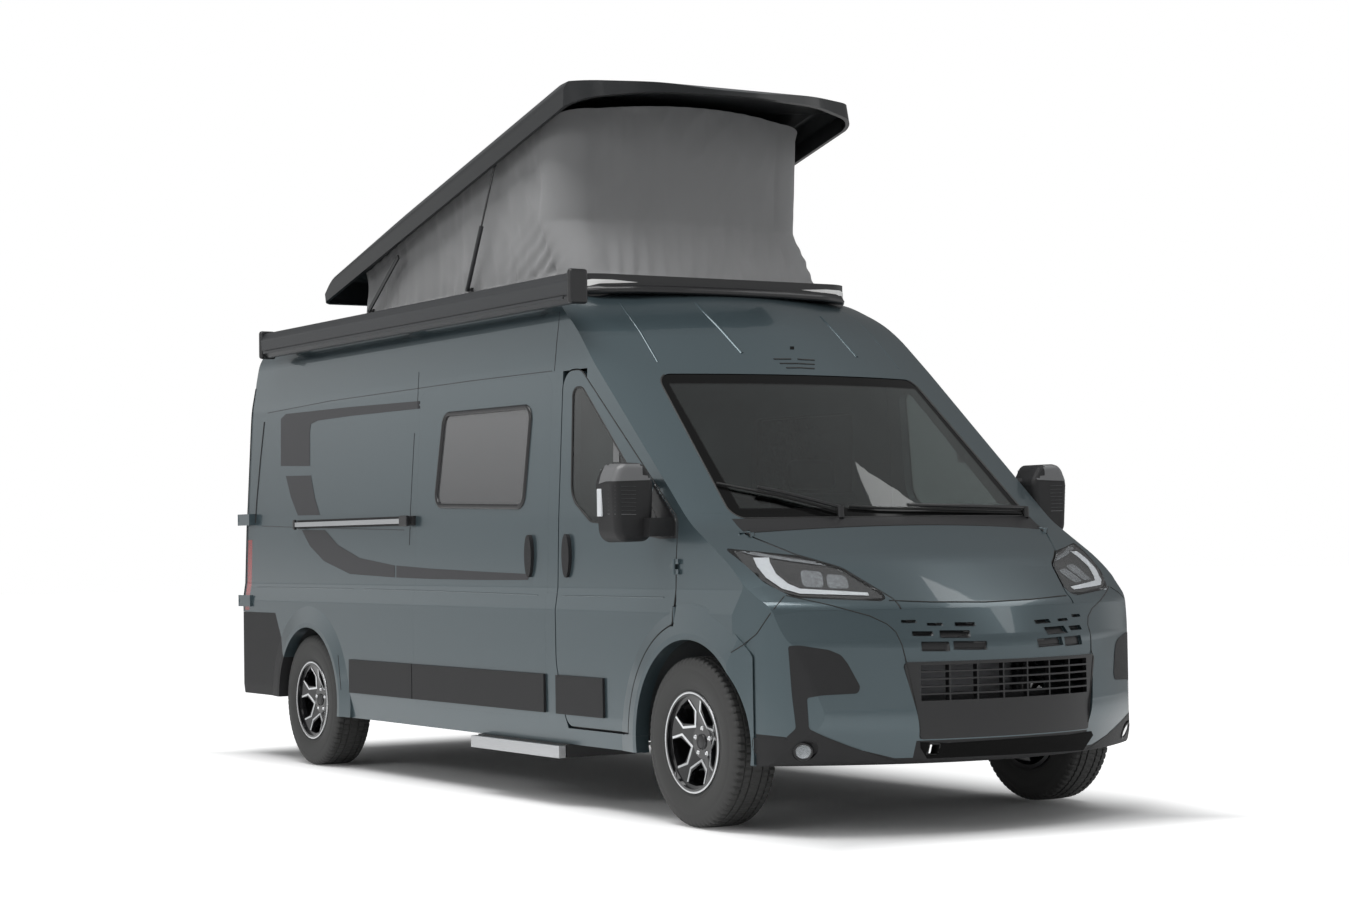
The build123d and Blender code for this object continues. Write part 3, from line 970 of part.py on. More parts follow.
cab_trim = side_trim(CAB_TRIM_X0, CAB_TRIM_X1, TRIM_LOW_Z, TRIM_HIGH_Z, TRIM_PROUD)
cab_handle = handle(0.3221 * HALF_LENGTH)
cab_fittings = Compound(list(mirror_form.solids()) + list(cab_trim.solids()) + list(cab_handle.solids()))
keep("cab_fittings_right", cab_fittings)
keep("cab_fittings_left", mirrored(cab_fittings))

# Fixed side fittings: trims, sliding-door rail and handle
SIDE_TRIM_XS = ((-0.4768 * HALF_LENGTH, -0.2174 * HALF_LENGTH), (-0.2147 * HALF_LENGTH, 0.2561 * HALF_LENGTH))
RAIL_X0, RAIL_X1 = -0.7236 * HALF_LENGTH, -0.2187 * HALF_LENGTH
RAIL_Z0, RAIL_Z1 = 0.5310 * ROOF_TOP, 0.5504 * ROOF_TOP
SLIDE_RAIL_PROUD = 12.0
fit_right = []
for x0, x1 in SIDE_TRIM_XS:
    fit_right += list(side_trim(x0, x1, TRIM_LOW_Z, TRIM_HIGH_Z, TRIM_PROUD).solids())
slide_rail = block(RAIL_X0, RAIL_X1, -0.9752 * HALF_BODY - SLIDE_RAIL_PROUD, -HALF_BODY / 2, RAIL_Z0, RAIL_Z1) - outer
fit_right += list(slide_rail.solids())
fit_right += list(handle(0.2001 * HALF_LENGTH).solids())
fit_left = []
for x0, x1 in SIDE_TRIM_XS:
    fit_left += list(mirrored(side_trim(x0, x1, TRIM_LOW_Z, TRIM_HIGH_Z, TRIM_PROUD)).solids())
keep("side_fittings", Compound(fit_right + fit_left))

# Awning on the right roof edge
AWNING_X0, AWNING_X1 = -0.8503 * HALF_LENGTH, 0.3735 * HALF_LENGTH
AWNING_SHARES = (
    (-0.9525, 0.9331, 0.0040), (-0.9525, 0.9871, 0.0040), (-1.0198, 0.9899, 0.0153), (-1.0455, 0.9710, 0.0121), (-1.0416, 0.9448, 0.0121), (-1.0000, 0.9307, 0.0101),
)
awning = front_cut(AWNING_SHARES, AWNING_X0, AWNING_X1)
BRACKET_WIDTH = 50.0
for x in (-0.8003 * HALF_LENGTH, -0.3001 * HALF_LENGTH, 0.2001 * HALF_LENGTH):
    awning += block(x, x + BRACKET_WIDTH, -0.9604 * HALF_BODY, -0.7921 * HALF_BODY, 0.9388 * ROOF_TOP, 0.9670 * ROOF_TOP) - outer
keep("awning", awning)

# Entrance step under the sliding door
STEP_X0, STEP_X1 = 0.0233 * HALF_LENGTH, 0.3201 * HALF_LENGTH
STEP_Z1 = SILL_BOTTOM - 36 * MM
STEP_HEIGHT = 64.0
STEP_OUT_Y = 1.0376 * HALF_BODY
STEP_IN_Y = 0.6337 * HALF_BODY
STEP_WALL = 5.0
STEP_CLEAR = 6.0
STEP_DEPTH = 0.3267 * HALF_BODY
STEP_BAR_RADIUS = 8.0
STEP_BAR_XS = (STEP_X0 + 2 * OVERRUN, STEP_X1 - 2 * OVERRUN)
STEP_BAR_IN_Y = 0.3267 * HALF_BODY
STEP_LIP = 34.0
step_z0 = STEP_Z1 - STEP_HEIGHT + 36 * MM - SEAT_GAP
step_z1 = SILL_BOTTOM - 2 * MM - SEAT_GAP
step_mid = (step_z0 + step_z1) / 2
housing_out = STEP_OUT_Y - STEP_LIP - STEP_CLEAR
step_housing = block(STEP_X0, STEP_X1, -housing_out, -STEP_IN_Y, step_z0, step_z1)
step_housing -= block(STEP_X0 + STEP_WALL, STEP_X1 - STEP_WALL, -FAR, -STEP_IN_Y - 2 * STEP_WALL,
                      step_z0 + STEP_WALL, step_z1 - STEP_WALL)
tread_x0, tread_x1 = STEP_X0 + STEP_WALL + STEP_CLEAR, STEP_X1 - STEP_WALL - STEP_CLEAR
tread = block(tread_x0, tread_x1, -STEP_OUT_Y + STEP_LIP / 2, -STEP_IN_Y - OVERRUN,
              step_z0 + STEP_WALL + STEP_CLEAR, step_z1 - STEP_WALL - STEP_CLEAR)
tread += block(STEP_X0, STEP_X1, -STEP_OUT_Y, -STEP_OUT_Y + STEP_LIP, step_z0, step_z1 - STEP_CLEAR)
for x in STEP_BAR_XS:
    tread += rod_y(x, step_mid, STEP_BAR_RADIUS, -STEP_IN_Y - 2 * OVERRUN, -STEP_BAR_IN_Y)
    step_housing -= rod_y(x, step_mid, STEP_BAR_RADIUS + RUNNING, -STEP_IN_Y - OVERRUN, 0)
keep("step_housing", step_housing)
keep("step_tread", tread)

# Pop-up roof: a shell made shut, then raised about its rear pivot
PIVOT_X = -0.8570 * HALF_LENGTH
RIM_Z = ROOF_TOP + 20 * MM
POP_REAR_X = -0.7242 * HALF_LENGTH
POP_FRONT_X = 0.3548 * HALF_LENGTH
POP_HALF = 0.8178 * HALF_BODY
POP_WALL = 20.0
POP_REAR_ROUND = 70.0
POP_HEIGHT = 190.0
# Columns: share of the length from the rear, share of the height, corner radius as a share of the height
POP_SIDE_SHARES = (
    (0.000, -0.20, 0.00), (0.002, 0.16, 0.20), (0.050, 0.57, 0.60), (0.486, 0.88, 3.00), (0.842, 0.97, 1.20),
    (0.918, 0.62, 0.80), (0.992, 0.25, 0.10), (1.000, 0.12, 0.05), (1.000, -0.20, 0.00),
)
# Columns: share of the half width, share of the height, corner radius as a share of the height
POP_SECTION_SHARES = (
    (1.000, -0.30, 0.00), (0.990, 0.50, 0.30), (0.925, 0.86, 0.40), (0.600, 1.02, 1.50),
    (-0.600, 1.02, 1.50), (-0.925, 0.86, 0.40), (-0.990, 0.50, 0.30), (-1.000, -0.30, 0.00),
)

# Columns: share of the length from the rear, share of the half width, corner radius as a share of the half width
POP_PLAN_SHARES = ((0.0000, 1.0000, 0.0847), (0.9431, 1.0000, 0.2785), (0.9895, 0.5811, 0.6053), (1.0000, 0.1453, 1.0896))


def pop_form(inset):
    """The shut roof shell's outer form, moved inward by inset and run down past its rim when inset."""
    length = POP_FRONT_X - POP_REAR_X
    drop = -2 * POP_HEIGHT if inset else 0.0
    side = [(POP_REAR_X + x * length, RIM_Z + z * POP_HEIGHT) for x, z, _ in POP_SIDE_SHARES]
    section = [(y * POP_HALF, RIM_Z + z * POP_HEIGHT) for y, z, _ in POP_SECTION_SHARES]
    form = side_prism(side, [row[2] * POP_HEIGHT for row in POP_SIDE_SHARES], -FAR, FAR, inset)
    form &= front_prism(section, [row[2] * POP_HEIGHT for row in POP_SECTION_SHARES], -FAR, FAR, inset)
    half = [(POP_REAR_X + x * length, y * POP_HALF) for x, y, _ in POP_PLAN_SHARES]
    radii = [row[2] * POP_HALF for row in POP_PLAN_SHARES]
    plan = [(x, -y) for x, y in half] + half[::-1]
    return form & plan_prism(plan, radii + radii[::-1], RIM_Z + drop, FAR, inset)


pop_outer = pop_form(0.0)
pop_inner = pop_form(POP_WALL)
pop_roof = pop_outer - pop_inner
pop_roof -= block(-FAR, FAR, -FAR, FAR, -FAR, RIM_Z)
HINGE_ARM_Y = 0.3515 * HALF_BODY
HINGE_ARM_WIDTH = 30.0
HINGE_ARM_DEPTH = 24.0
HINGE_ARM_LIFT = 4.0
HINGE_ARM_EYE = 12.0
HINGE_ARM_PIN = 6.0
LUG = 10.0
LUG_GAP = 2.0
ARM_OVERLAP = 70.0
arm = block(PIVOT_X, POP_REAR_X + ARM_OVERLAP, -HINGE_ARM_Y - HINGE_ARM_WIDTH / 2, -HINGE_ARM_Y + HINGE_ARM_WIDTH / 2,
            RIM_Z + HINGE_ARM_LIFT, RIM_Z + HINGE_ARM_LIFT + HINGE_ARM_DEPTH)
arm += rod_y(PIVOT_X, RIM_Z, HINGE_ARM_EYE, -HINGE_ARM_Y - HINGE_ARM_WIDTH / 2, -HINGE_ARM_Y + HINGE_ARM_WIDTH / 2)
arm -= rod_y(PIVOT_X, RIM_Z, HINGE_ARM_PIN + RUNNING, -FAR, 0)
pop_roof += arm + mirrored(arm)
pop_axis = Axis((PIVOT_X, 0, RIM_Z), (0, 1, 0))


def raised(shape):
    """A shut-roof shape turned to the raised position."""
    return shape.rotate(pop_axis, -ROOF_TILT_DEG)


keep("pop_roof", raised(pop_roof))

# Roof frame under the tent, with the roof's rear hinge lugs and the struts' lower lugs
FRAME_TOP = RIM_Z - 8 * MM
FRAME_JOINT_XS = (-0.5519 * HALF_LENGTH, 0.1784 * HALF_LENGTH)
FRAME_SHARES = ((-0.6269, -0.7881, 0.0891), (0.2541, -0.7881, 0.1485), (0.2541, 0.7881, 0.1485), (-0.6269, 0.7881, 0.0891))
roof_frame = plan_prism(plan_points(FRAME_SHARES), [row[2] * HALF_BODY for row in FRAME_SHARES], ROOF_TOP / 2, FRAME_TOP)
roof_frame -= plan_prism(plan_points(HATCH_SHARES), hatch_radii, 0, FAR)
frame_solids = list((roof_frame - outer_plain).solids())
lug_pair = block(PIVOT_X - 2 * LUG, PIVOT_X + 2 * LUG, -HINGE_ARM_Y - HINGE_ARM_WIDTH / 2 - LUG_GAP - LUG,
                 -HINGE_ARM_Y + HINGE_ARM_WIDTH / 2 + LUG_GAP + LUG, ROOF_TOP / 2, RIM_Z + LUG)
lug_pair -= block(-FAR, 0, -HINGE_ARM_Y - HINGE_ARM_WIDTH / 2 - LUG_GAP, -HINGE_ARM_Y + HINGE_ARM_WIDTH / 2 + LUG_GAP,
                  RIM_Z - HINGE_ARM_EYE - LUG_GAP, FAR)
lug_pair += rod_y(PIVOT_X, RIM_Z, HINGE_ARM_PIN, -HINGE_ARM_Y - HINGE_ARM_WIDTH / 2 - LUG, -HINGE_ARM_Y + HINGE_ARM_WIDTH / 2 + LUG)
lug_pair -= outer_plain
frame_solids += list(lug_pair.solids()) + list(mirrored(lug_pair).solids())

# Gas struts and rear lift arms
STRUT_Y = 0.7703 * HALF_BODY
STRUT_LOW = (-0.1477 * HALF_LENGTH, RIM_Z + LUG * 2)
STRUT_TUBE_R = 11.0
STRUT_ROD_R = 5.0
STRUT_BORE_R = 8.0
STRUT_EYE_R = 9.0
STRUT_TUBE_LENGTH = 350.0
STRUT_ROD_LENGTH = 362.0
STRUT_COLLAR = 12.0
STRUT_TOP_X = -0.0147 * HALF_LENGTH
STRUT_TOP_LIFT = 22.0
LUG_IN = 0.7446 * HALF_BODY
pivot = Vector(PIVOT_X, 0, RIM_Z)
turn = math.radians(ROOF_TILT_DEG)
top = Vector(STRUT_TOP_X - PIVOT_X, 0, STRUT_TOP_LIFT)
strut_top = (
    PIVOT_X + top.X * math.cos(turn) - top.Z * math.sin(turn),
    RIM_Z + top.X * math.sin(turn) + top.Z * math.cos(turn),
)
strut_len = math.hypot(strut_top[0] - STRUT_LOW[0], strut_top[1] - STRUT_LOW[1])
ux, uz = (strut_top[0] - STRUT_LOW[0]) / strut_len, (strut_top[1] - STRUT_LOW[1]) / strut_len


def along(start, s):
    """A point s along the open strut's axis."""
    return (start[0] + ux * s, -STRUT_Y, start[1] + uz * s)


tube = bar(along(STRUT_LOW, STRUT_EYE_R / 2), along(STRUT_LOW, STRUT_TUBE_LENGTH), STRUT_TUBE_R)
tube -= bar(along(STRUT_LOW, STRUT_TUBE_R * 2), along(STRUT_LOW, STRUT_TUBE_LENGTH - STRUT_COLLAR), STRUT_BORE_R)
tube -= bar(along(STRUT_LOW, STRUT_TUBE_R * 3), along(STRUT_LOW, STRUT_TUBE_LENGTH + STRUT_COLLAR), STRUT_ROD_R + RUNNING)
tube_eye = rod_y(STRUT_LOW[0], STRUT_LOW[1], STRUT_EYE_R, -STRUT_Y - STRUT_EYE_R, -STRUT_Y + STRUT_EYE_R)
tube += tube_eye
tube -= rod_y(STRUT_LOW[0], STRUT_LOW[1], PIN_RADIUS + RUNNING, -FAR, 0)
strut_rod = bar(along(STRUT_LOW, strut_len - STRUT_ROD_LENGTH), along(STRUT_LOW, strut_len - STRUT_EYE_R / 2), STRUT_ROD_R)
strut_rod += rod_y(strut_top[0], strut_top[1], STRUT_EYE_R, -STRUT_Y - STRUT_ROD_R, -STRUT_Y + STRUT_ROD_R)
strut_rod -= rod_y(strut_top[0], strut_top[1], PIN_RADIUS + RUNNING, -FAR, 0)
keep("strut_tubes", both(tube))
keep("strut_rods", both(strut_rod))

ARM_LOW = (-0.5502 * HALF_LENGTH, RIM_Z + LUG * 1.4)
ARM_OPEN_DEG = 34.0
ARM_LENGTH = 467.0
ARM_HEIGHT = 24.0
ARM_THICK = 8.0
arm_end = (ARM_LOW[0] + ARM_LENGTH * math.cos(math.radians(ARM_OPEN_DEG)), ARM_LOW[1] + ARM_LENGTH * math.sin(math.radians(ARM_OPEN_DEG)))
arm_form = Pos(ARM_LOW[0], -STRUT_Y, ARM_LOW[1]) * Rot(0, -ARM_OPEN_DEG, 0) * (
    Pos(ARM_LENGTH / 2, 0, 0) * Box(ARM_LENGTH, ARM_THICK, ARM_HEIGHT)
    + Rot(90, 0, 0) * Cylinder(ARM_HEIGHT / 2, ARM_THICK)
)
arm_form -= rod_y(ARM_LOW[0], ARM_LOW[1], PIN_RADIUS + RUNNING, -FAR, 0)
keep("lift_arms", both(arm_form))
for low in (STRUT_LOW, ARM_LOW):
    lug = block(low[0] - 2 * LUG, low[0] + 2 * LUG, -LUG_IN - LUG, -LUG_IN, FRAME_TOP - LUG, low[1] + LUG)
    lug += rod_y(low[0], low[1], PIN_RADIUS, -STRUT_Y - STRUT_EYE_R, -LUG_IN)
    roof_frame += lug + mirrored(lug)
roof_frame -= outer_plain
for x in FRAME_JOINT_XS:
    roof_frame -= block(x - SEAM / 2, x + SEAM / 2, -FAR, FAR, 0, FAR)
frame_solids = list(roof_frame.solids()) + frame_solids[-2:]
keep("roof_frame", Compound(frame_solids))

# Tent between the roof frame and the raised shell
TENT_HALF = 0.7327 * HALF_BODY
TENT_WALL = 8.0
TENT_REAR_X = -0.5859 * HALF_LENGTH
TENT_FRONT_X = 0.2334 * HALF_LENGTH
TENT_KINK_X = 0.1394 * HALF_LENGTH
TENT_KINK_Z = 1.1241 * ROOF_TOP
TENT_LIFT = 84.0
TENT_REAR_LIFT = 40.0
slope = math.tan(turn)


def tent_top(x, lift):
    """Height of the tent's top at x, lift above the raised rim."""
    return RIM_Z + (x - PIVOT_X) * slope + lift


tent_points = [
    (TENT_REAR_X, FRAME_TOP + SEAT_GAP), (TENT_FRONT_X, FRAME_TOP + SEAT_GAP), (TENT_KINK_X, TENT_KINK_Z),
    (TENT_KINK_X, tent_top(TENT_KINK_X, TENT_LIFT)), (TENT_REAR_X, tent_top(TENT_REAR_X, TENT_REAR_LIFT)),
]
tent = side_prism(tent_points, 0.0, -TENT_HALF, TENT_HALF)
tent_inner, _ = offset_outline(tent_points, [0.0] * len(tent_points), TENT_WALL)
tent_low = FRAME_TOP - TENT_WALL
(low_x, low_z), (kink_x, kink_z) = tent_inner[1], tent_inner[2]
tent_inner[0] = (tent_inner[0][0], tent_low)
tent_inner[1] = (low_x + (tent_low - low_z) * (kink_x - low_x) / (kink_z - low_z), tent_low)
tent_inner[3] = (tent_inner[3][0], FAR)
tent_inner[4] = (tent_inner[4][0], FAR)
tent -= side_prism(tent_inner, 0.0, -TENT_HALF + TENT_WALL, TENT_HALF - TENT_WALL)
keep("tent", tent)

for name, shape in (
    ("body_side_right", body_side_right),
    ("body_side_left", body_side_left),
    ("roof_panel", roof_panel),
    ("header_panel", header),
    ("fender_right", fender),
    ("fender_left", mirrored(fender)),
    ("front_bumper", bumper),
    ("bonnet", bonnet),
    ("headlights", headlights),
    ("windscreen", windscreen),
    ("cowl", cowl),
    ("sliding_door", sliding_door),
    ("side_windows", Compound([sliding_window.solid()] + [mirrored(g).solid() for g in left_glass])),
    ("cab_door_right", cab_door),
    ("cab_door_left", mirrored(cab_door)),
    ("cab_window_right", cab_window),
    ("cab_window_left", mirrored(cab_window)),
    ("rear_door_right", rear_door),
    ("rear_door_left", mirrored(rear_door)),
    ("rear_window_right", rear_pane),
    ("rear_window_left", mirrored(rear_pane)),
    ("rear_bumper", rear_bumper),
    ("tail_lights", both(tail_lamp)),
    ("grille", grille),
    ("bumper_cladding", bumper_cladding),
):
    keep(name, shape)

for name, shape in nodes.items():
    export_step(shape, f"parts/{name}.step")
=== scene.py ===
import json
import math

import bpy
from mathutils import Matrix, Vector, geometry, noise
from mathutils.bvhtree import BVHTree

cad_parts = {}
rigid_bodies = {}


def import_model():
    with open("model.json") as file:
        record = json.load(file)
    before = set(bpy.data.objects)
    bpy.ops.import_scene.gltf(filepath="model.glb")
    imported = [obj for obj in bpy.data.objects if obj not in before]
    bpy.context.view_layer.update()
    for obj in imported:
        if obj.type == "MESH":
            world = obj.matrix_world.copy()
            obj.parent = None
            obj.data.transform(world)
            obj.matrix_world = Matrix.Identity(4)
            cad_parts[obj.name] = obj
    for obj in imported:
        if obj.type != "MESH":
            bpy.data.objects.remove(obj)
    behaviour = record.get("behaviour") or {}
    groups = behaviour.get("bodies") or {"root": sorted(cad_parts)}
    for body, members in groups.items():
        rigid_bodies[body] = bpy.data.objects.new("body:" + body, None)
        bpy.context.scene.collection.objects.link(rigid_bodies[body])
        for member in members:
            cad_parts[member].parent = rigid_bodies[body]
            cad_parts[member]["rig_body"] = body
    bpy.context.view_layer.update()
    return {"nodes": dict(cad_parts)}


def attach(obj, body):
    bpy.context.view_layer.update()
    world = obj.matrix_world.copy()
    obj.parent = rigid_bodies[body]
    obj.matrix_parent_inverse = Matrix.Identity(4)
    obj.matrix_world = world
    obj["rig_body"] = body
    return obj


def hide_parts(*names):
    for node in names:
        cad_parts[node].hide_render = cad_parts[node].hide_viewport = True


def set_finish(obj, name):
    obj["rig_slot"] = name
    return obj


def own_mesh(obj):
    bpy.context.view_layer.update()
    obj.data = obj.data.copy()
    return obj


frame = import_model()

# Camera, solved from the photograph
CAMERA_AT = Vector((11.3164, -6.7298, 1.2077))
CAMERA_YAW, CAMERA_PITCH, CAMERA_ROLL = (math.radians(v) for v in (148.58, 2.07, -0.865))
CAMERA_LENS, CAMERA_SENSOR = 68.45, 36.0
IMAGE_WIDTH, IMAGE_HEIGHT = 1349, 900

# Main sizes in metres, as in the solid model
AXLE_Z = 0.362
WHEELS = {  # name: x, y of the wheel's middle, body
    "front_right": (2.051, -0.905), "front_left": (2.051, 0.905),
    "rear_right": (-1.984, -0.895), "rear_left": (-1.984, 0.895),
}
RIGHT, LEFT = -1, 1
SIDES = {"right": RIGHT, "left": LEFT}


def camera_axes():
    """The camera's right, up and forward directions."""
    ahead = Vector((math.cos(CAMERA_PITCH) * math.cos(CAMERA_YAW),
                    math.cos(CAMERA_PITCH) * math.sin(CAMERA_YAW), math.sin(CAMERA_PITCH)))
    flat = ahead.cross(Vector((0, 0, 1))).normalized()
    up = flat.cross(ahead)
    c, s = math.cos(CAMERA_ROLL), math.sin(CAMERA_ROLL)
    return flat * c + up * s, up * c - flat * s, ahead


CAM_RIGHT, CAM_UP, CAM_AHEAD = camera_axes()
FOCAL_PX = CAMERA_LENS / CAMERA_SENSOR * IMAGE_WIDTH


def photo_ray(x, y):
    """Start and direction of the ray through a point of the photograph."""
    d = CAM_AHEAD + CAM_RIGHT * ((x - IMAGE_WIDTH / 2) / FOCAL_PX) - CAM_UP * ((y - IMAGE_HEIGHT / 2) / FOCAL_PX)
    return CAMERA_AT, d.normalized()


def front_ray(y, z):
    """Start and direction of a level ray that looks at the vehicle from in front."""
    return Vector((6.0, y, z)), Vector((-1, 0, 0))


# Materials
def math_node(nodes, links, operation, *values):
    """A maths node whose inputs are sockets or numbers."""
    made = nodes.new("ShaderNodeMath")
    made.operation = operation
    for socket, value in zip(made.inputs, values):
        if isinstance(value, (int, float)):
            socket.default_value = value
        else:
            links.new(value, socket)
    return made.outputs[0]


def surface(name, colour, rough, metal=0.0, coat=0.0, grain=400.0, bump=0.05, tint=0.12, glass=0.0, spec=0.5,
            rough_var=0.1, stretch=(1, 1, 1), sheen=0.0, emit=None):
    """A principled surface whose colour, roughness and bump vary with a fine noise."""
    m = bpy.data.materials.new(name)
    m.use_nodes = True
    nodes, links = m.node_tree.nodes, m.node_tree.links
    shader = nodes["Principled BSDF"]
    shader.inputs["Metallic"].default_value = metal
    shader.inputs["Coat Weight"].default_value = coat
    shader.inputs["Coat Roughness"].default_value = 0.03
    shader.inputs["Specular IOR Level"].default_value = spec
    shader.inputs["Transmission Weight"].default_value = glass
    shader.inputs["Sheen Weight"].default_value = sheen
    if emit:
        shader.inputs["Emission Color"].default_value = (*emit[0], 1)
        shader.inputs["Emission Strength"].default_value = emit[1]
    where = nodes.new("ShaderNodeNewGeometry")
    scale = nodes.new("ShaderNodeMapping")
    scale.inputs["Scale"].default_value = stretch
    links.new(where.outputs["Position"], scale.inputs["Vector"])
    fine = nodes.new("ShaderNodeTexNoise")
    fine.inputs["Scale"].default_value = grain
    fine.inputs["Detail"].default_value = 3
    links.new(scale.outputs["Vector"], fine.inputs["Vector"])
    ramp = nodes.new("ShaderNodeMapRange")
    ramp.inputs["To Min"].default_value = 1 - tint
    ramp.inputs["To Max"].default_value = 1 + tint
    links.new(fine.outputs["Fac"], ramp.inputs["Value"])
    mixed = nodes.new("ShaderNodeMix")
    mixed.data_type = "RGBA"
    mixed.blend_type = "MULTIPLY"
    mixed.inputs["Factor"].default_value = 1.0
    mixed.inputs["A"].default_value = (*colour, 1)
    links.new(ramp.outputs["Result"], mixed.inputs["B"])
    links.new(mixed.outputs["Result"], shader.inputs["Base Color"])
    roughness = nodes.new("ShaderNodeMapRange")
    roughness.inputs["To Min"].default_value = max(0.0, rough * (1 - rough_var))
    roughness.inputs["To Max"].default_value = min(1.0, rough * (1 + rough_var))
    links.new(fine.outputs["Fac"], roughness.inputs["Value"])
    links.new(roughness.outputs["Result"], shader.inputs["Roughness"])
    if bump:
        bumped = nodes.new("ShaderNodeBump")
        bumped.inputs["Strength"].default_value = bump
        bumped.inputs["Distance"].default_value = 0.001
        links.new(fine.outputs["Fac"], bumped.inputs["Height"])
        links.new(bumped.outputs["Normal"], shader.inputs["Normal"])
    return m


PAINT = surface("paint_metallic", (0.074, 0.105, 0.118), 0.29, metal=0.55, coat=0.6, grain=2600, bump=0.0, tint=0.10)
# Dark stripe film; the same colour also draws the painted shade of the pressed crease lines.
DARK_FILM_AND_CREASE_SHADE = surface("stripe_film_and_crease_shade", (0.034, 0.034, 0.038), 0.38, metal=0.2, coat=0.15, spec=0.3, grain=2600, bump=0.0,
                     tint=0.08)
BLACK_GRAINED = surface("black_grained", (0.017, 0.017, 0.018), 0.55, grain=900, bump=0.35, tint=0.10, spec=0.35)
BLACK_SATIN = surface("black_satin", (0.016, 0.016, 0.017), 0.30, grain=300, bump=0.04, tint=0.08)
BLACK_GLOSS = surface("black_gloss", (0.010, 0.010, 0.011), 0.10, coat=0.5, grain=300, bump=0.0, tint=0.08)
SEAL = surface("rubber_seal", (0.012, 0.012, 0.012), 0.5, grain=600, bump=0.1)
TYRE = surface("tyre_rubber", (0.040, 0.040, 0.039), 0.62, grain=260, bump=0.25, tint=0.20)
SILVER = surface("machined_silver", (0.72, 0.73, 0.74), 0.24, metal=1.0, grain=700, bump=0.05, tint=0.05)
BRUSHED = surface("brushed_aluminium", (0.55, 0.56, 0.57), 0.32, metal=1.0, grain=500, bump=0.1, stretch=(0.02, 1, 1))
STEEL = surface("chassis_steel", (0.035, 0.036, 0.038), 0.45, metal=0.3, grain=120, bump=0.15, tint=0.25)
CAST = surface("cast_metal", (0.22, 0.22, 0.23), 0.5, metal=0.8, grain=350, bump=0.4, tint=0.2)
FLOOR_SHEET = surface("floor_sheet", (0.075, 0.082, 0.085), 0.55, metal=0.1, grain=60, bump=0.05, tint=0.15)
INSIDE = surface("moulded_interior", (0.045, 0.046, 0.048), 0.6, grain=1200, bump=0.3, tint=0.1)
AWNING = surface("awning_case", (0.040, 0.042, 0.045), 0.38, metal=0.35, grain=900, bump=0.08, tint=0.06)
CLOTH = surface("tent_cloth", (0.215, 0.216, 0.219), 0.82, grain=1500, bump=0.5, tint=0.16, sheen=0.25, spec=0.25)
SEAT = surface("seat_fabric", (0.060, 0.060, 0.064), 0.85, grain=1400, bump=0.6, tint=0.25, sheen=0.3, spec=0.2)
SEAT_TRIM = surface("seat_leather", (0.035, 0.034, 0.034), 0.5, grain=500, bump=0.5, tint=0.1)
LENS = surface("lamp_lens", (0.92, 0.94, 0.95), 0.03, glass=1.0, grain=100, bump=0.0, tint=0.02)
RED = surface("lamp_red", (0.38, 0.010, 0.010), 0.12, coat=0.8, glass=0.15, grain=180, bump=0.15, tint=0.12)
WHITE_LAMP = surface("lamp_white", (0.62, 0.64, 0.66), 0.15, coat=0.5, grain=200, bump=0.05,
                     emit=((0.9, 0.95, 1.0), 0.08))
LAMP_UNIT = surface("lamp_reflector", (0.20, 0.21, 0.22), 0.12, metal=0.9, coat=0.5, grain=60, bump=0.3, tint=0.5)
PANE = surface("tinted_glass", (0.21, 0.24, 0.235), 0.0, glass=1.0, grain=50, bump=0.0, tint=0.02, rough_var=0.0)
SMOKED = surface("smoked_pane", (0.080, 0.080, 0.083), 0.10, coat=0.7, glass=0.2, grain=30, bump=0.0, tint=0.10)
MIRROR_FACE = surface("mirror_glass", (0.8, 0.82, 0.84), 0.03, metal=1.0, grain=50, bump=0.0, tint=0.02)
GREY_SATIN = surface("grey_satin", (0.150, 0.152, 0.156), 0.38, grain=500, bump=0.05, tint=0.06)
WHITE_TRIM = surface("white_rim", (0.80, 0.80, 0.79), 0.4, grain=300, bump=0.05, tint=0.03)
DEEP_BLACK = surface("intake_black", (0.006, 0.006, 0.006), 0.75, grain=500, bump=0.1, tint=0.1, spec=0.1)
DARK_RUN = surface("glass_run", (0.040, 0.041, 0.043), 0.4, grain=500, bump=0.05, tint=0.06)


def frame_glass(name, edge, tone):
    """Tinted glass with a printed black border; edge lists (axis, where it starts, where it is full, lean)."""
    m = PANE.copy()
    m.name = name
    nodes, links = m.node_tree.nodes, m.node_tree.links
    clear = nodes["Principled BSDF"]
    out = nodes["Material Output"]
    dark = nodes.new("ShaderNodeBsdfPrincipled")
    clear.inputs["Base Color"].default_value = (*tone, 1)
    dark.inputs["Base Color"].default_value = (0.006, 0.006, 0.006, 1)
    dark.inputs["Roughness"].default_value = 0.08
    for shader, level in ((clear, 0.04), (dark, 0.10)):
        shader.inputs["Specular IOR Level"].default_value = level
    where = nodes.new("ShaderNodeNewGeometry")
    parts = nodes.new("ShaderNodeSeparateXYZ")
    links.new(where.outputs["Position"], parts.inputs["Vector"])
    total = None
    for axis, low, high, tilt in edge:
        value = parts.outputs[axis]
        if axis == "Y":
            half = math_node(nodes, links, "ABSOLUTE", value)
            value = math_node(nodes, links, "MULTIPLY_ADD", parts.outputs["Z"], tilt, half)
        ramp = nodes.new("ShaderNodeMapRange")
        ramp.inputs["From Min"].default_value = low
        ramp.inputs["From Max"].default_value = high
        links.new(value, ramp.inputs["Value"])
        if total is None:
            total = ramp.outputs["Result"]
        else:
            total = math_node(nodes, links, "MAXIMUM", total, ramp.outputs["Result"])
    mix = nodes.new("ShaderNodeMixShader")
    links.new(total, mix.inputs["Fac"])
    links.new(clear.outputs["BSDF"], mix.inputs[1])
    links.new(dark.outputs["BSDF"], mix.inputs[2])
    links.new(mix.outputs["Shader"], out.inputs["Surface"])
    return m


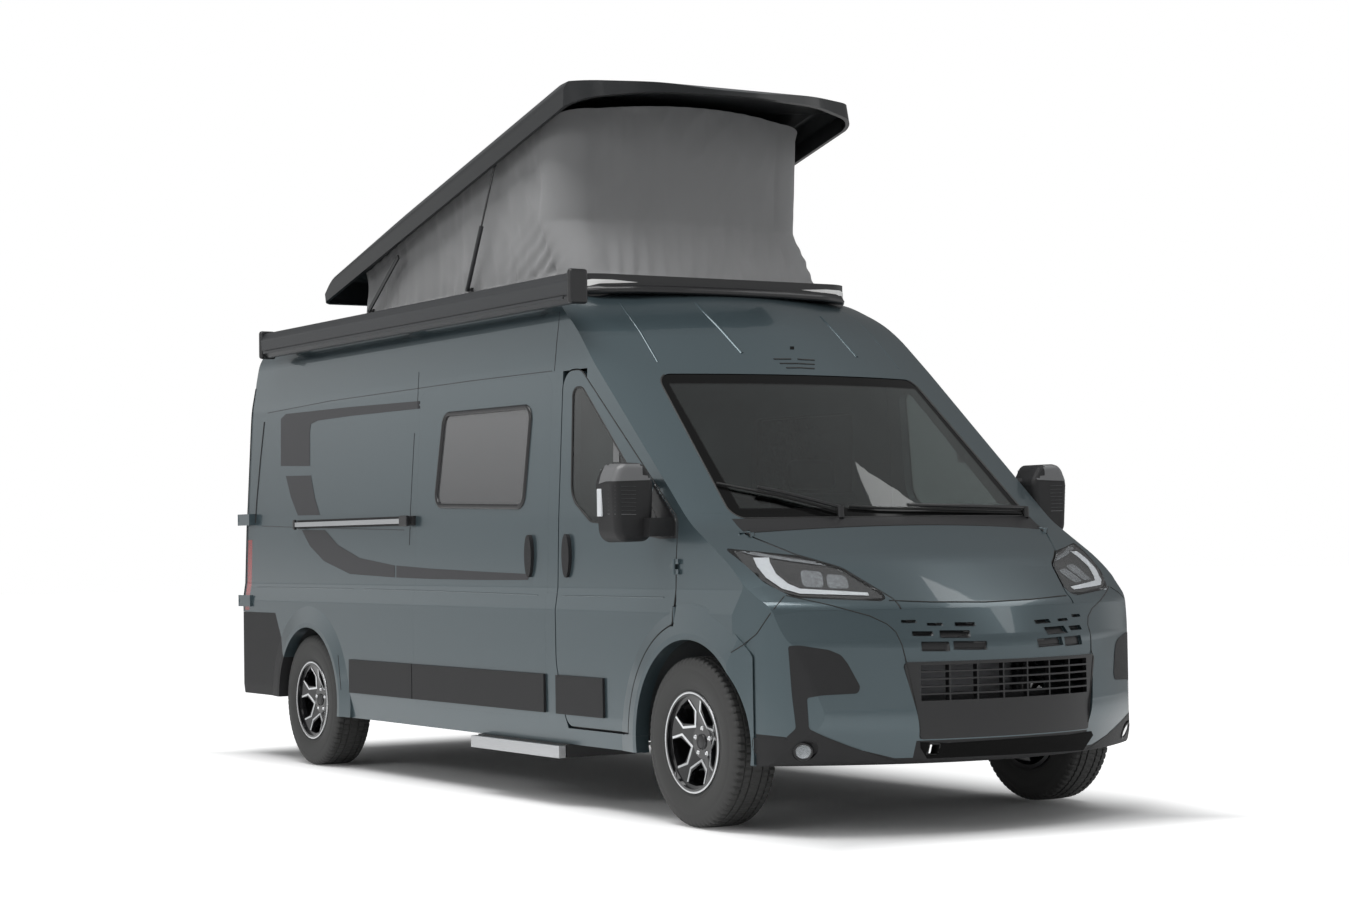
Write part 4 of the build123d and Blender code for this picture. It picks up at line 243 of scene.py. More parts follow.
def painted_light_by_facing(name, low, high, first, second, direction):
    """Painted light: the second colour, on faces that look along direction, stands in for the light that falls on them,
    and the first colour is on the rest.
    """
    m = surface(name, first, 0.30, coat=0.12, spec=0.2, grain=600, bump=0.03, tint=0.05)
    nodes, links = m.node_tree.nodes, m.node_tree.links
    mixed = next(n for n in nodes if n.bl_idname == "ShaderNodeMix")
    where = nodes.new("ShaderNodeNewGeometry")
    dot = nodes.new("ShaderNodeVectorMath")
    dot.operation = "DOT_PRODUCT"
    dot.inputs[1].default_value = direction
    links.new(where.outputs["Normal"], dot.inputs[0])
    ramp = nodes.new("ShaderNodeMapRange")
    ramp.inputs["From Min"].default_value = low
    ramp.inputs["From Max"].default_value = high
    links.new(dot.outputs["Value"], ramp.inputs["Value"])
    tone = nodes.new("ShaderNodeMix")
    tone.data_type = "RGBA"
    tone.inputs["A"].default_value = (*first, 1)
    tone.inputs["B"].default_value = (*second, 1)
    links.new(ramp.outputs["Result"], tone.inputs["Factor"])
    links.new(tone.outputs["Result"], mixed.inputs["A"])
    return m


SCREEN = frame_glass("windscreen_glass", (
    ("Y", 0.868, 0.876, 0.092), ("Z", 1.928, 1.934, 0), ("Z", 1.352, 1.346, 0),
), (0.32, 0.37, 0.36))
ROOF_TILT = math.radians(13.7)
# The roof shell's top is painted lighter than its sides: painted light for the light its top catches, set by the way
# each face looks.
SHELL_PAINTED_LIT_TOP = painted_light_by_facing("roof_shell_painted_lit_top", 0.55, 0.80, (0.016, 0.017, 0.018), (0.125, 0.130, 0.134),
                 (-math.sin(ROOF_TILT), 0, math.cos(ROOF_TILT)))

NODE_MATERIALS = {
    PAINT: "body_side_right body_side_left roof_panel header_panel fender_right fender_left bonnet sliding_door "
           "cab_door_right cab_door_left rear_door_right rear_door_left front_bumper",
    BLACK_GRAINED: "bumper_cladding rear_bumper cab_fittings_right cab_fittings_left side_fittings",
    LENS: "headlights", RED: "tail_lights", SCREEN: "windscreen", SMOKED: "side_windows",
    PANE: "cab_window_right cab_window_left rear_window_right rear_window_left",
    TYRE: "tyre_front_right tyre_front_left tyre_rear_right tyre_rear_left",
    STEEL: "knuckle_right knuckle_left underframe front_suspension rear_axle strut_tubes lift_arms",
    FLOOR_SHEET: "floor_pan", CAST: "engine", BLACK_SATIN: "cowl grille roof_frame step_housing tanks",
    INSIDE: "dashboard steering_wheel", SEAT: "front_seats", AWNING: "awning", BRUSHED: "step_tread",
    BLACK_GLOSS: "rim_front_right rim_front_left rim_rear_right rim_rear_left strut_rods",
    SHELL_PAINTED_LIT_TOP: "pop_roof", CLOTH: "tent",
}
for finish, names in NODE_MATERIALS.items():
    for name in names.split():
        node = frame["nodes"][name]
        node.data.materials.clear()
        node.data.materials.append(finish)


# Helpers that make pieces
def piece(name, verts, faces, finish, body, slot, smooth=True, bevel=0.0, subdivide=0, solid=0.0):
    mesh = bpy.data.meshes.new(name)
    mesh.from_pydata([tuple(v) for v in verts], [], faces)
    mesh.update()
    obj = bpy.data.objects.new(name, mesh)
    bpy.context.scene.collection.objects.link(obj)
    mesh.materials.append(finish)
    if smooth:
        mesh.polygons.foreach_set("use_smooth", [True] * len(mesh.polygons))
    if solid:
        thick = obj.modifiers.new("thickness", "SOLIDIFY")
        thick.thickness = solid
        thick.offset = 0
    if bevel:
        edge = obj.modifiers.new("bevel", "BEVEL")
        edge.width = bevel
        edge.segments = 3
        edge.limit_method = "ANGLE"
        edge.harden_normals = True
    if subdivide:
        sub = obj.modifiers.new("subdivision", "SUBSURF")
        sub.levels = sub.render_levels = subdivide
    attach(obj, body)
    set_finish(obj, slot)
    return obj


def crate(name, low, high, finish, body, slot, bevel=0.004, smooth=True, turn=None, subdivide=0):
    """A box with rounded edges between two corners."""
    (x0, y0, z0), (x1, y1, z1) = low, high
    verts = [Vector(v) for v in ((x0, y0, z0), (x1, y0, z0), (x1, y1, z0), (x0, y1, z0),
                                 (x0, y0, z1), (x1, y0, z1), (x1, y1, z1), (x0, y1, z1))]
    if turn:
        middle = sum(verts, Vector()) / 8
        verts = [middle + turn @ (v - middle) for v in verts]
    faces = [(0, 3, 2, 1), (4, 5, 6, 7), (0, 1, 5, 4), (1, 2, 6, 5), (2, 3, 7, 6), (3, 0, 4, 7)]
    return piece(name, verts, faces, finish, body, slot, smooth, bevel, subdivide)


def lathe(name, profile, count, centre, finish, body, slot, side=RIGHT, wrap=False, **more):
    """A ring about a cross axis; profile rows are (radius, distance outwards)."""
    verts, faces, rows = [], [], len(profile)
    for k in range(count):
        a = 2 * math.pi * k / count
        for r, w in profile:
            verts.append(Vector((centre[0] + r * math.cos(a), centre[1] + side * w, centre[2] + r * math.sin(a))))
    last = rows if wrap else rows - 1
    for k in range(count):
        for i in range(last):
            a, b = k * rows + i, k * rows + (i + 1) % rows
            c, d = ((k + 1) % count) * rows + (i + 1) % rows, ((k + 1) % count) * rows + i
            faces.append((a, b, c, d) if side == LEFT else (d, c, b, a))
    return piece(name, verts, faces, finish, body, slot, **more)


def mirrored(points):
    """The same points on the vehicle's other side."""
    return [Vector((p.x, -p.y, p.z)) for p in points]


def tube(name, points, radius, finish, body, slot, closed=False):
    """A round bar along points."""
    curve = bpy.data.curves.new(name, "CURVE")
    curve.dimensions = "3D"
    curve.bevel_depth = radius
    curve.bevel_resolution = 3
    curve.use_fill_caps = True
    line = curve.splines.new("POLY")
    line.points.add(len(points) - 1)
    for p, q in zip(line.points, points):
        p.co = (*q, 1)
    line.use_cyclic_u = closed
    obj = bpy.data.objects.new(name, curve)
    bpy.context.scene.collection.objects.link(obj)
    curve.materials.append(finish)
    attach(obj, body)
    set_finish(obj, slot)
    return obj


TREES = {}


def tree_of(name):
    if name not in TREES:
        mesh = frame["nodes"][name].data
        TREES[name] = BVHTree.FromPolygons([v.co for v in mesh.vertices], [p.vertices for p in mesh.polygons])
    return TREES[name]


def hit(ray, nodes):
    """Nearest point and outward normal where a ray meets the named nodes."""
    start, direction = ray
    best = None
    for name in nodes:
        place, normal, _, far = tree_of(name).ray_cast(start, direction)
        if place and (best is None or far < best[2]):
            best = (place, normal if normal.dot(direction) < 0 else -normal, far)
    return best


def rounded(points, radius, steps=5):
    """A closed outline with rounded corners."""
    out, n = [], len(points)
    for i, p in enumerate(points):
        p = Vector(p)
        a, b = Vector(points[i - 1]), Vector(points[(i + 1) % n])
        u, v = (a - p), (b - p)
        cut = min(radius, u.length * 0.45, v.length * 0.45)
        u, v = p + u.normalized() * cut, p + v.normalized() * cut
        for k in range(steps + 1):
            t = k / steps
            out.append((u * (1 - t) ** 2 + p * (2 * t * (1 - t)) + v * t ** 2))
    return out


def drape(name, outline, ray, nodes, lift, step, finish, body, slot, radius=0.0, mirror=False, drop=0.05):
    """A thin skin inside outline, laid on what the rays meet."""
    edge = rounded(outline, radius) if radius else [Vector(p) for p in outline]
    ring = []
    for i, p in enumerate(edge):
        q = edge[(i + 1) % len(edge)]
        cuts = max(1, int((q - p).length / step))
        ring += [p.lerp(q, k / cuts) for k in range(cuts)]
    xs, ys = [p.x for p in ring], [p.y for p in ring]
    points, lines = list(ring), [(i, (i + 1) % len(ring)) for i in range(len(ring))]
    across, along = int((max(xs) - min(xs)) / step) + 1, int((max(ys) - min(ys)) / step) + 1
    for i in range(across):
        for k in range(along):
            p = Vector((min(xs) + (i + 0.5) * step, min(ys) + (k + 0.5) * step))
            if min((p - q).length for q in ring) > step * 0.4:
                points.append(p)
    flat, _, cells, *_ = geometry.delaunay_2d_cdt(points, lines, [list(range(len(ring)))], 1, 1e-6)
    found = [hit(ray(p.x, p.y), nodes) for p in flat]
    faces = []
    for cell in cells:
        if any(found[i] is None for i in cell):
            continue
        depth = [found[i][2] for i in cell]
        if max(depth) - min(depth) < drop + step:
            faces.append(tuple(cell))
    verts = [f[0] + f[1] * lift if f else Vector() for f in found]
    used = sorted({i for f in faces for i in f})
    place = {i: k for k, i in enumerate(used)}
    verts, faces = [verts[i] for i in used], [tuple(place[i] for i in f) for f in faces]
    made = [piece(name, verts, faces, finish, body, slot)]
    if mirror:
        made.append(piece(mirror[0], mirrored(verts), [f[::-1] for f in faces], finish, mirror[1], slot))
    return made


def trace(outline, ray, nodes, lift, step, closed=True):
    """Points along an outline, laid on what the rays meet."""
    found, n = [], len(outline)
    for i in range(n if closed else n - 1):
        p, q = Vector(outline[i]), Vector(outline[(i + 1) % n])
        cuts = max(1, int((q - p).length / step))
        for k in range(cuts + (0 if closed or i < n - 2 else 1)):
            at = p.lerp(q, k / cuts)
            got = hit(ray(at.x, at.y), nodes)
            if got:
                found.append(got[0] + got[1] * lift)
    return found


def border(node, outward, limit=0.6):
    """The closed edges of the faces of a node that look outwards, longest first."""
    mesh = frame["nodes"][node].data
    key = lambda v: tuple(round(c, 5) for c in v)
    edges = {}
    for face in mesh.polygons:
        if face.normal.dot(outward) < limit:
            continue
        ids = [key(mesh.vertices[i].co) for i in face.vertices]
        for a, b in zip(ids, ids[1:] + ids[:1]):
            if (b, a) in edges:
                del edges[(b, a)]
            else:
                edges[(a, b)] = True
    after = {}
    for a, b in edges:
        after.setdefault(a, []).append(b)
    loops = []
    while after:
        start = next(iter(after))
        loop, here = [start], start
        while here in after:
            step = after[here].pop()
            if not after[here]:
                del after[here]
            here = step
            if here == start:
                break
            loop.append(here)
        loops.append([Vector(p) for p in loop])
    return sorted(loops, key=lambda loop: -sum((a - b).length for a, b in zip(loop, loop[1:])))


# Wheels: treaded tyres, machined edges, bolts and caps
TREAD_PITCHES, PITCH_STEPS = 70, 4
TREAD_DEPTH = 0.007
TYRE_PROFILE = (  # radius, distance outwards, share of the tread's cut
    (0.212, 0.089, 0), (0.218, 0.097, 0), (0.232, 0.1035, 0), (0.236, 0.1025, 0), (0.240, 0.1045, 0),
    (0.262, 0.1090, 0), (0.286, 0.1105, 0), (0.305, 0.1095, 0), (0.309, 0.1080, 0), (0.313, 0.1088, 0),
    (0.328, 0.1055, 0), (0.338, 0.1030, 0.5), (0.346, 0.0995, 1), (0.3545, 0.0930, 1), (0.3590, 0.0850, 1),
    (0.3604, 0.0660, 1), (0.3532, 0.0645, 0), (0.3532, 0.0585, 0), (0.3610, 0.0570, 0.6), (0.3618, 0.0300, 0.6),
    (0.3545, 0.0285, 0), (0.3545, 0.0225, 0), (0.3620, 0.0210, 0.4), (0.3620, 0.0, 0.4),
)
SPOKE_COUNT = 5
STRIP = ((0.182, 0.345), (0.132, 0.475), (0.082, 0.0))  # radius and angle of the window's edge from its middle
STRIP_WIDTH = 0.0085
BOLT_CIRCLE = 0.058
BOLT_PROFILE = ((0.0001, 0.056), (0.0065, 0.056), (0.0085, 0.054), (0.0085, 0.0505), (0.0115, 0.0505), (0.0125, 0.048))


def disc_front(r):
    """Distance outwards of the wheel disc's face at a radius."""
    return 0.050 + max(0.0, r - 0.072) / (0.202 - 0.072) * 0.0377


def tyre_piece(tag, x, y, side, body):
    half = list(TYRE_PROFILE)
    profile = half + [(r, -w, c) for r, w, c in reversed(half[:-1])]
    count, rows = TREAD_PITCHES * PITCH_STEPS, len(profile)
    verts, faces = [], []
    for k in range(count):
        a = 2 * math.pi * k / count
        for i, (r, w, cut) in enumerate(profile):
            phase = (k + (2 if w > 0 else 0) + (1 if abs(w) < 0.06 else 0)) % PITCH_STEPS
            r -= TREAD_DEPTH * cut if phase == 0 else 0
            verts.append(Vector((x + r * math.cos(a), y + side * w, AXLE_Z + r * math.sin(a))))
    for k in range(count):
        for i in range(rows - 1):
            a, b = k * rows + i, k * rows + i + 1
            c, d = (k + 1) % count * rows + i + 1, (k + 1) % count * rows + i
            faces.append((a, b, c, d) if side == LEFT else (d, c, b, a))
    tyre = piece(f"tyre_tread_{tag}", verts, faces, TYRE, body, "tyre", smooth=False)
    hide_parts(f"tyre_{tag}")
    tyre.data.polygons.foreach_set("use_smooth", [
        abs(profile[i][1]) > 0.097 for k in range(count) for i in range(rows - 1)])


def machined_strips(tag, x, y, side, body):
    """Bright bevelled strips round each window of the wheel."""
    verts, faces = [], []
    for k in range(SPOKE_COUNT):
        middle = -math.pi / 2 + 2 * math.pi * k / SPOKE_COUNT
        half = [Vector((r * math.cos(t), r * math.sin(t))) for r, t in STRIP]
        path = half + [Vector((p.x, -p.y)) for p in reversed(half[:-1])]
        inner, outer = [], []
        for i, p in enumerate(path):
            ahead = (path[min(i + 1, len(path) - 1)] - path[max(i - 1, 0)]).normalized()
            normal = Vector((-ahead.y, ahead.x))
            if i not in (0, len(path) - 1):
                a = (p - path[i - 1]).normalized()
                b = (path[i + 1] - p).normalized()
                stretch = 1 / max(0.5, math.cos(a.angle(b) / 2))
            else:
                stretch = 1
            inner.append(p + normal * STRIP_WIDTH * 0.15 * stretch)
            outer.append(p - normal * STRIP_WIDTH * stretch)
        start = len(verts)
        for row, height in ((inner, -0.004), (inner, 0.0022), (outer, 0.0022), (outer, -0.004)):
            for p in row:
                r = p.length
                a = middle + math.atan2(p.y, p.x)
                out = side * (disc_front(r) + height)
                verts.append(Vector((x + r * math.cos(a), y + out, AXLE_Z + r * math.sin(a))))
        n = len(path)
        for row in range(3):
            for i in range(n - 1):
                a = start + row * n + i
                face = (a, a + 1, a + n + 1, a + n)
                faces.append(face if side == LEFT else face[::-1])
    piece(f"machined_edges_{tag}", verts, faces, SILVER, body, "alloy", smooth=False)


for tag, (x, y) in WHEELS.items():
    side = RIGHT if y < 0 else LEFT
    body = f"wheel_{tag}"
    centre = (x, y, AXLE_Z)
    tyre_piece(tag, x, y, side, body)
    machined_strips(tag, x, y, side, body)
    lathe(f"rim_lip_{tag}", [(0.2015, 0.086), (0.203, 0.1005), (0.2075, 0.1045), (0.2145, 0.1045), (0.2165, 0.1015),
                             (0.2165, 0.097)], 120, centre, SILVER, body, "alloy", side)
    lathe(f"wheel_cap_{tag}", [(0.0001, 0.058), (0.024, 0.0575), (0.028, 0.056), (0.030, 0.052), (0.030, 0.046)],
          48, centre, BLACK_SATIN, body, "alloy", side)
    lathe(f"cap_ring_{tag}", [(0.0295, 0.048), (0.0305, 0.0565), (0.033, 0.0565), (0.034, 0.048)],
          48, centre, BLACK_GLOSS, body, "alloy", side)
    for k in range(SPOKE_COUNT):
        a = math.pi / 2 + 2 * math.pi * k / SPOKE_COUNT
        spot = (x + BOLT_CIRCLE * math.cos(a), y, AXLE_Z + BOLT_CIRCLE * math.sin(a))
        lathe(f"wheel_bolt_{tag}_{k}", BOLT_PROFILE, 18, spot, SILVER, body, "alloy", side)

# Glass seals along the real edges of each pane
SEALS = (  # node, outward, radius, finish, body
    ("cab_window_right", (0, -1, 0), 0.0060, SEAL, "cab_door_right"),
    ("cab_window_left", (0, 1, 0), 0.0060, SEAL, "cab_door_left"),
    ("rear_window_right", (-1, 0, 0), 0.0065, SEAL, "rear_door_right"),
    ("rear_window_left", (-1, 0, 0), 0.0065, SEAL, "rear_door_left"),
    ("side_windows", (0, -1, 0), 0.0130, BLACK_SATIN, "body"),
    ("side_windows", (0, 1, 0), 0.0130, BLACK_SATIN, "body"),
    ("windscreen", (0.75, 0, 0.66), 0.0050, SEAL, "body"),
)
for node, outward, radius, finish, body in SEALS:
    loops = [loop for loop in border(node, Vector(outward)) if len(loop) > 6]
    for k, loop in enumerate(loops[:4]):
        if max((a - b).length for a in loop[:1] for b in loop) < 0.2:
            continue
        tag = "r" if outward[1] < 0 else "l" if outward[1] > 0 else "c"
        tube(f"seal_{node}_{tag}{k}", loop, radius, finish, body, "fittings_plastic", closed=True)

# Dark rubber in the gaps round the doors and the bonnet
GAPS = (  # node, outward, depth below the face
    ("cab_door_right", (0, -1, 0), 0.0050), ("cab_door_left", (0, 1, 0), 0.0050), ("sliding_door", (0, -1, 0), 0.0050),
    ("rear_door_right", (-1, 0, 0), 0.0060), ("rear_door_left", (-1, 0, 0), 0.0060), ("bonnet", (0.5, 0, 0.86), 0.0060),
)
GAP_RADIUS = 0.0042
for node, outward, depth in GAPS:
    loop = [p - Vector(outward) * depth for p in border(node, Vector(outward), 0.5)[0]]
    rider = node if node != "sliding_door" else "body"
    tube(f"gap_rubber_{node}", loop, GAP_RADIUS, SEAL, rider, "fittings_plastic", closed=True)

# Rounded edges and beads of the pressed panels, which catch the light
BEADS_PX = {  # line, nodes, rider, radius, lift
    "waist_body": (((258, 587), (340, 588.5), (420, 590.5), (480, 592.7), (538, 595)),
                   "body_side_right sliding_door", "body", 0.0035, -0.0015),
    "waist_door": (((556, 595.6), (600, 596.3), (664, 597.5)), "cab_door_right", "cab_door_right", 0.0035, -0.0015),
    "header_in": (((696, 303), (718, 326), (742, 353)), "header_panel", "body", 0.013, -0.0080),
    "header_out": (((821, 317), (838, 335), (857, 357)), "header_panel", "body", 0.013, -0.0080),
    "brow_in": (((620, 303), (640, 331), (658, 362)), "header_panel", "body", 0.008, -0.0060),
}
for key, (line, names, rider, radius, lift) in BEADS_PX.items():
    bead = trace(line, photo_ray, names.split(), lift, 6.0, closed=False)
    if len(bead) > 1:
        tube(f"bead_{key}_right", bead, radius, PAINT, rider, "paint")
        if not key.startswith("header"):
            tube(f"bead_{key}_left", mirrored(bead), radius, PAINT, rider.replace("right", "left"), "paint")

# Pressed lines of the body side, drawn where the photograph shows them
PRESSED_PX = {
    "gutter": ((268, 413), (330, 401), (400, 391), (470, 381), (552, 371)),
    "waist": ((262, 526), (300, 527.5), (360, 529), (404, 530)),
    "quarter_front": ((414.5, 433), (412.5, 470), (410.5, 510), (409.5, 545)),
    "quarter_top": ((419, 372), (417.5, 405)),
    "quarter_low": ((338, 655), (341, 690)),
    "rear_corner": ((264.5, 422), (260.5, 461), (257, 500), (255.5, 523)),
    "header_seam": ((554.5, 371), (557, 340), (560, 312)),
    "vent_0": ((797.5, 359.3), (814.3, 360.3)),
    "vent_1": ((797.5, 363.5), (814.3, 364.5)),
    "vent_2": ((797.5, 367.7), (814.3, 368.7)),
}
for key, line in PRESSED_PX.items():
    groove = trace(line, photo_ray, ["body_side_right", "sliding_door", "roof_panel", "header_panel"], 0.0002, 8.0,
                   closed=False)
    # The gutter, waist and quarter lines are thin dark tubes of painted shade in the pressed creases; the header seam
    # is a dark joint line, and the rear corner and vent lines use the black seal.
    width, finish = (0.0040, SEAL) if key == "rear_corner" or key.startswith("vent") else (0.0018, DARK_FILM_AND_CREASE_SHADE)
    if len(groove) > 1:
        tube(f"pressed_{key}_right", groove, width, finish, "body", "paint")
        tube(f"pressed_{key}_left", mirrored(groove), width, finish, "body", "paint")

# Panel edges of the nose, drawn where the photograph shows them
NOSE_LINES_PX = {  # line, half width
    "bonnet_edge": (((889, 600.5), (930, 602), (985, 602), (1030, 599.5), (1066, 595.5)), 0.0030),
    "bumper_arc": (((786, 595.5), (830, 605), (870, 616), (887, 624), (896, 632), (902, 645), (909, 672), (915, 700),
                    (921, 733)), 0.0022),
    "fender_seam": (((784, 596.5), (770, 614), (756.5, 634), (743, 645), (731, 652.5)), 0.0022),
}
for key, (line, width) in NOSE_LINES_PX.items():
    edge = trace(line, photo_ray, ["bonnet", "front_bumper", "fender_right", "grille"], 0.0004, 6.0, closed=False)
    if len(edge) > 1:
        tube(f"seam_{key}", edge, width, SEAL, "body", "fittings_plastic")
        if key != "bonnet_edge":
            tube(f"seam_{key}_left", mirrored(edge), width, SEAL, "body", "fittings_plastic")

# Stripe film on the rear quarter, traced from the photograph
STRIPE_PX = {
    "band": ((281, 466), (281, 419), (286, 414), (350, 407), (420, 401), (462, 397.5), (467.5, 399.5), (464, 404),
             (420, 408.5), (350, 416), (318, 420.5), (311, 424), (310, 431), (310, 466)),
    "block": ((286, 476), (311, 475.5), (315, 498), (320, 515), (298, 515.5), (291, 497)),
    "sweep": ((302, 530), (325, 530), (338, 545), (360, 558), (395, 565.5), (395, 577.5), (350, 574), (324, 561),
              (310, 546)),
}
for key, outline in STRIPE_PX.items():
    drape(f"stripe_{key}_right", outline, photo_ray, ["body_side_right"], 0.0012, 3.0, DARK_FILM_AND_CREASE_SHADE, "body", "paint",
          mirror=(f"stripe_{key}_left", "body"))
DOOR_STRIPE_PX = ((396.5, 565.5), (430, 568.5), (480, 571.5), (530, 574), (528, 580), (480, 580), (430, 579),
                  (396.5, 577.5))
drape("stripe_door_right", DOOR_STRIPE_PX, photo_ray, ["sliding_door", "body_side_right"], 0.0012, 3.0, DARK_FILM_AND_CREASE_SHADE,
      "body", "paint", mirror=("stripe_door_left", "body"))

# Sliding-door rail cover and its black ends
RAIL_X0, RAIL_X1, RAIL_Z, RAIL_Y = -2.150, -0.690, 1.341, -1.0225
crate("slide_rail_cover", (RAIL_X0, RAIL_Y - 0.0045, RAIL_Z - 0.013), (RAIL_X1, RAIL_Y + 0.006, RAIL_Z + 0.013),
      BRUSHED, "body", "fittings_plastic", 0.002)
for tag, x0, x1 in (("rear", RAIL_X0 - 0.012, RAIL_X0 + 0.014), ("front", RAIL_X1 - 0.075, RAIL_X1 + 0.016)):
    crate(f"slide_rail_end_{tag}", (x0, RAIL_Y - 0.0075, RAIL_Z - 0.028), (x1, RAIL_Y + 0.010, RAIL_Z + 0.028),
          BLACK_SATIN, "body", "fittings_plastic", 0.005)

# Nose slots in two mirrored groups, traced from the photograph
def nose_px(x, y):
    """A point of the enlarged nose view, as a point of the photograph."""
    return 800 + x / 4.364, 470 + y / 4.364


SLOTS = (  # left, right, top and bottom
    (440, 505, 655, 668), (553, 620, 668, 680), (675, 762, 665, 682), (488, 578, 705, 725), (608, 740, 700, 733),
    (528, 650, 750, 792), (668, 815, 747, 785),
)
for k, (x0, x1, y0, y1) in enumerate(SLOTS):
    outline = [nose_px(*p) for p in ((x0, y0), (x1, y0 - 1), (x1 + 6, y1 - 1), (x0 + 6, y1))]
    drape(f"nose_slot_right_{k}", outline, photo_ray, ["front_bumper"], 0.0010, 1.6, BLACK_SATIN, "body",
          "grille_plastic", radius=1.6, mirror=(f"nose_slot_left_{k}", "body"))

# Black corner inserts of the front bumper and the fog lamps
INSERT_PX = ((788, 646), (800, 645.5), (829, 650), (841, 655), (848, 664), (860.5, 687), (858, 693.5), (822, 695.5),
             (807, 698), (809, 729), (826, 737), (848, 745.5), (876, 755), (899, 762), (893, 764), (848, 757),
             (800, 752), (757, 756), (747, 738), (785.5, 738), (796, 728.5), (792, 696))
drape("bumper_insert_right", INSERT_PX, photo_ray, ["front_bumper", "bumper_cladding"], 0.0015, 3.0, BLACK_GRAINED,
      "body", "dark_plastic", radius=3.0, mirror=("bumper_insert_left", "body"))
FOG_AT = (-0.850, 0.356)  # y and z of the right lamp's seat
FOG_FACETS = 36
FOG_PARTS = (  # part, profile of (radius, height), finish, slot
    ("bezel", ((0.030, 0.006), (0.0325, 0.0150), (0.038, 0.0165), (0.0405, 0.0135), (0.0405, 0.002)), BLACK_SATIN,
     "dark_plastic"),
    ("bowl", ((0.0001, 0.0030), (0.018, 0.0045), (0.031, 0.0110)), LAMP_UNIT, "dark_plastic"),
    ("lens", ((0.0001, 0.0145), (0.016, 0.0140), (0.031, 0.0115)), LENS, "lamp_clear"),
)
for tag, side in SIDES.items():
    got = hit(front_ray(*FOG_AT), ["bumper_cladding"])
    if got:
        spot, normal = got[0].copy(), got[1].copy()
        if side == LEFT:
            spot.y, normal.y = -spot.y, -normal.y
        turn = normal.to_track_quat("Y", "Z").to_matrix()
        for part, profile, finish, slot in FOG_PARTS:
            verts, faces, rows = [], [], len(profile)
            for k in range(FOG_FACETS):
                a = 2 * math.pi * k / FOG_FACETS
                verts += [spot + turn @ Vector((r * math.cos(a), w, r * math.sin(a))) for r, w in profile]
                here, after = k * rows, (k + 1) % FOG_FACETS * rows
                faces += [(here + i, here + i + 1, after + i + 1, after + i) for i in range(rows - 1)]
            piece(f"fog_{part}_{tag}", verts, faces, finish, "body", slot)

# Headlights: dark bowl, light strip and lens units behind the clear lens
LAMP_BOWL_PX = ((732, 548), (745, 549), (790, 556), (835, 562), (858, 570), (876, 585), (886, 597), (860, 598),
                (800, 595), (780, 590), (757, 576), (744, 563))
LAMP_STRIP_PX = ((753, 557), (769, 557), (770, 562), (776, 573), (788, 583), (800, 588), (868, 592), (869, 595),
                 (800, 593), (782, 588), (766, 577), (757, 566))
LAMP_TOP_PX = ((733, 548.5), (746, 550), (790, 558), (836, 564), (857, 572), (852, 571.5), (835, 566.5), (790, 560.5),
               (752, 554.5))
LAMP_UNIT_PX = (((800, 569), (822, 571), (824, 587), (803, 586)), ((826, 573), (846, 575), (850, 588), (828, 587.5)))
for name, outline, lift, finish, slot in (
    ("lamp_bowl", LAMP_BOWL_PX, -0.012, BLACK_GLOSS, "grille_plastic"),
    ("lamp_strip", LAMP_STRIP_PX, -0.006, WHITE_LAMP, "lamp_clear"),
    ("lamp_brow", LAMP_TOP_PX, -0.005, LAMP_UNIT, "alloy"),
):
    drape(name + "_right", outline, photo_ray, ["headlights"], lift, 1.5, finish, "body", slot,
          mirror=(name + "_left", "body"))
for k, outline in enumerate(LAMP_UNIT_PX):
    drape(f"lamp_unit_{k}_right", outline, photo_ray, ["headlights"], -0.009, 1.5, LAMP_UNIT, "body", "alloy",
          radius=5.0, mirror=(f"lamp_unit_{k}_left", "body"))

# Details traced from the photograph: key: outline, nodes, lift, step, finish, rider, slot, mirrored
DETAILS = {
    "lower_intake": (((920, 742), (948, 743), (1000, 739.5), (1068, 734.5), (1091, 731), (1093, 735), (1083, 750),
                      (1011, 754.5), (959, 757), (927, 758.5), (920.5, 748)),
                     "front_bumper bumper_cladding grille", 0.0015, 2.5, DEEP_BLACK, "body", "grille_plastic", False),
    "header_dot": (((790, 346.5), (794, 346.5), (794, 349.5), (790, 349.5)),
                   "header_panel", 0.0010, 1.0, DEEP_BLACK, "body", "dark_plastic", False),
    "mirror_cap": (((599, 484), (601, 475), (605, 466), (612, 461), (620, 459.5), (638, 459), (642, 462), (642.5, 475),
                    (650, 476), (650, 480), (606, 481.5)),
                   "cab_fittings_right", 0.0015, 2.0, GREY_SATIN, "cab_door_right", "dark_plastic", True),
    "mirror_sail": (((659, 472), (662, 456), (672, 483), (671, 498), (675, 509), (685, 515.5), (689, 524.5), (690, 533),
                     (687, 538), (660, 539), (648, 536), (645, 519), (652, 495)),
                    "cab_door_right cab_window_right", 0.0030, 2.5, BLACK_SATIN, "cab_door_right", "dark_plastic",
                    True),
    "glass_divider": (((613.5, 388), (619.5, 388), (619.5, 462), (613.5, 462)),
                      "cab_window_right", 0.0015, 2.5, GREY_SATIN, "cab_door_right", "dark_plastic", True),
    "roof_rim": (((574, 282), (591.5, 279), (611.5, 279.5), (638, 282.3), (625, 282.9), (599.5, 283.4), (589.7, 285.8),
                  (574, 286.8)),
                 "roof_frame roof_panel header_panel", 0.0020, 1.5, WHITE_TRIM, "body", "roof_frame_plastic", True),
}
for key, (outline, names, lift, step, finish, rider, slot, twin) in DETAILS.items():
    drape(f"{key}_right" if twin else key, outline, photo_ray, names.split(), lift, step, finish, rider, slot,
          mirror=(f"{key}_left", rider.replace("right", "left")) if twin else False)
RIB_COUNT, RIB_TOP_PX, RIB_PITCH_PX, RIB_RADIUS = 8, 486, 4, 0.0013
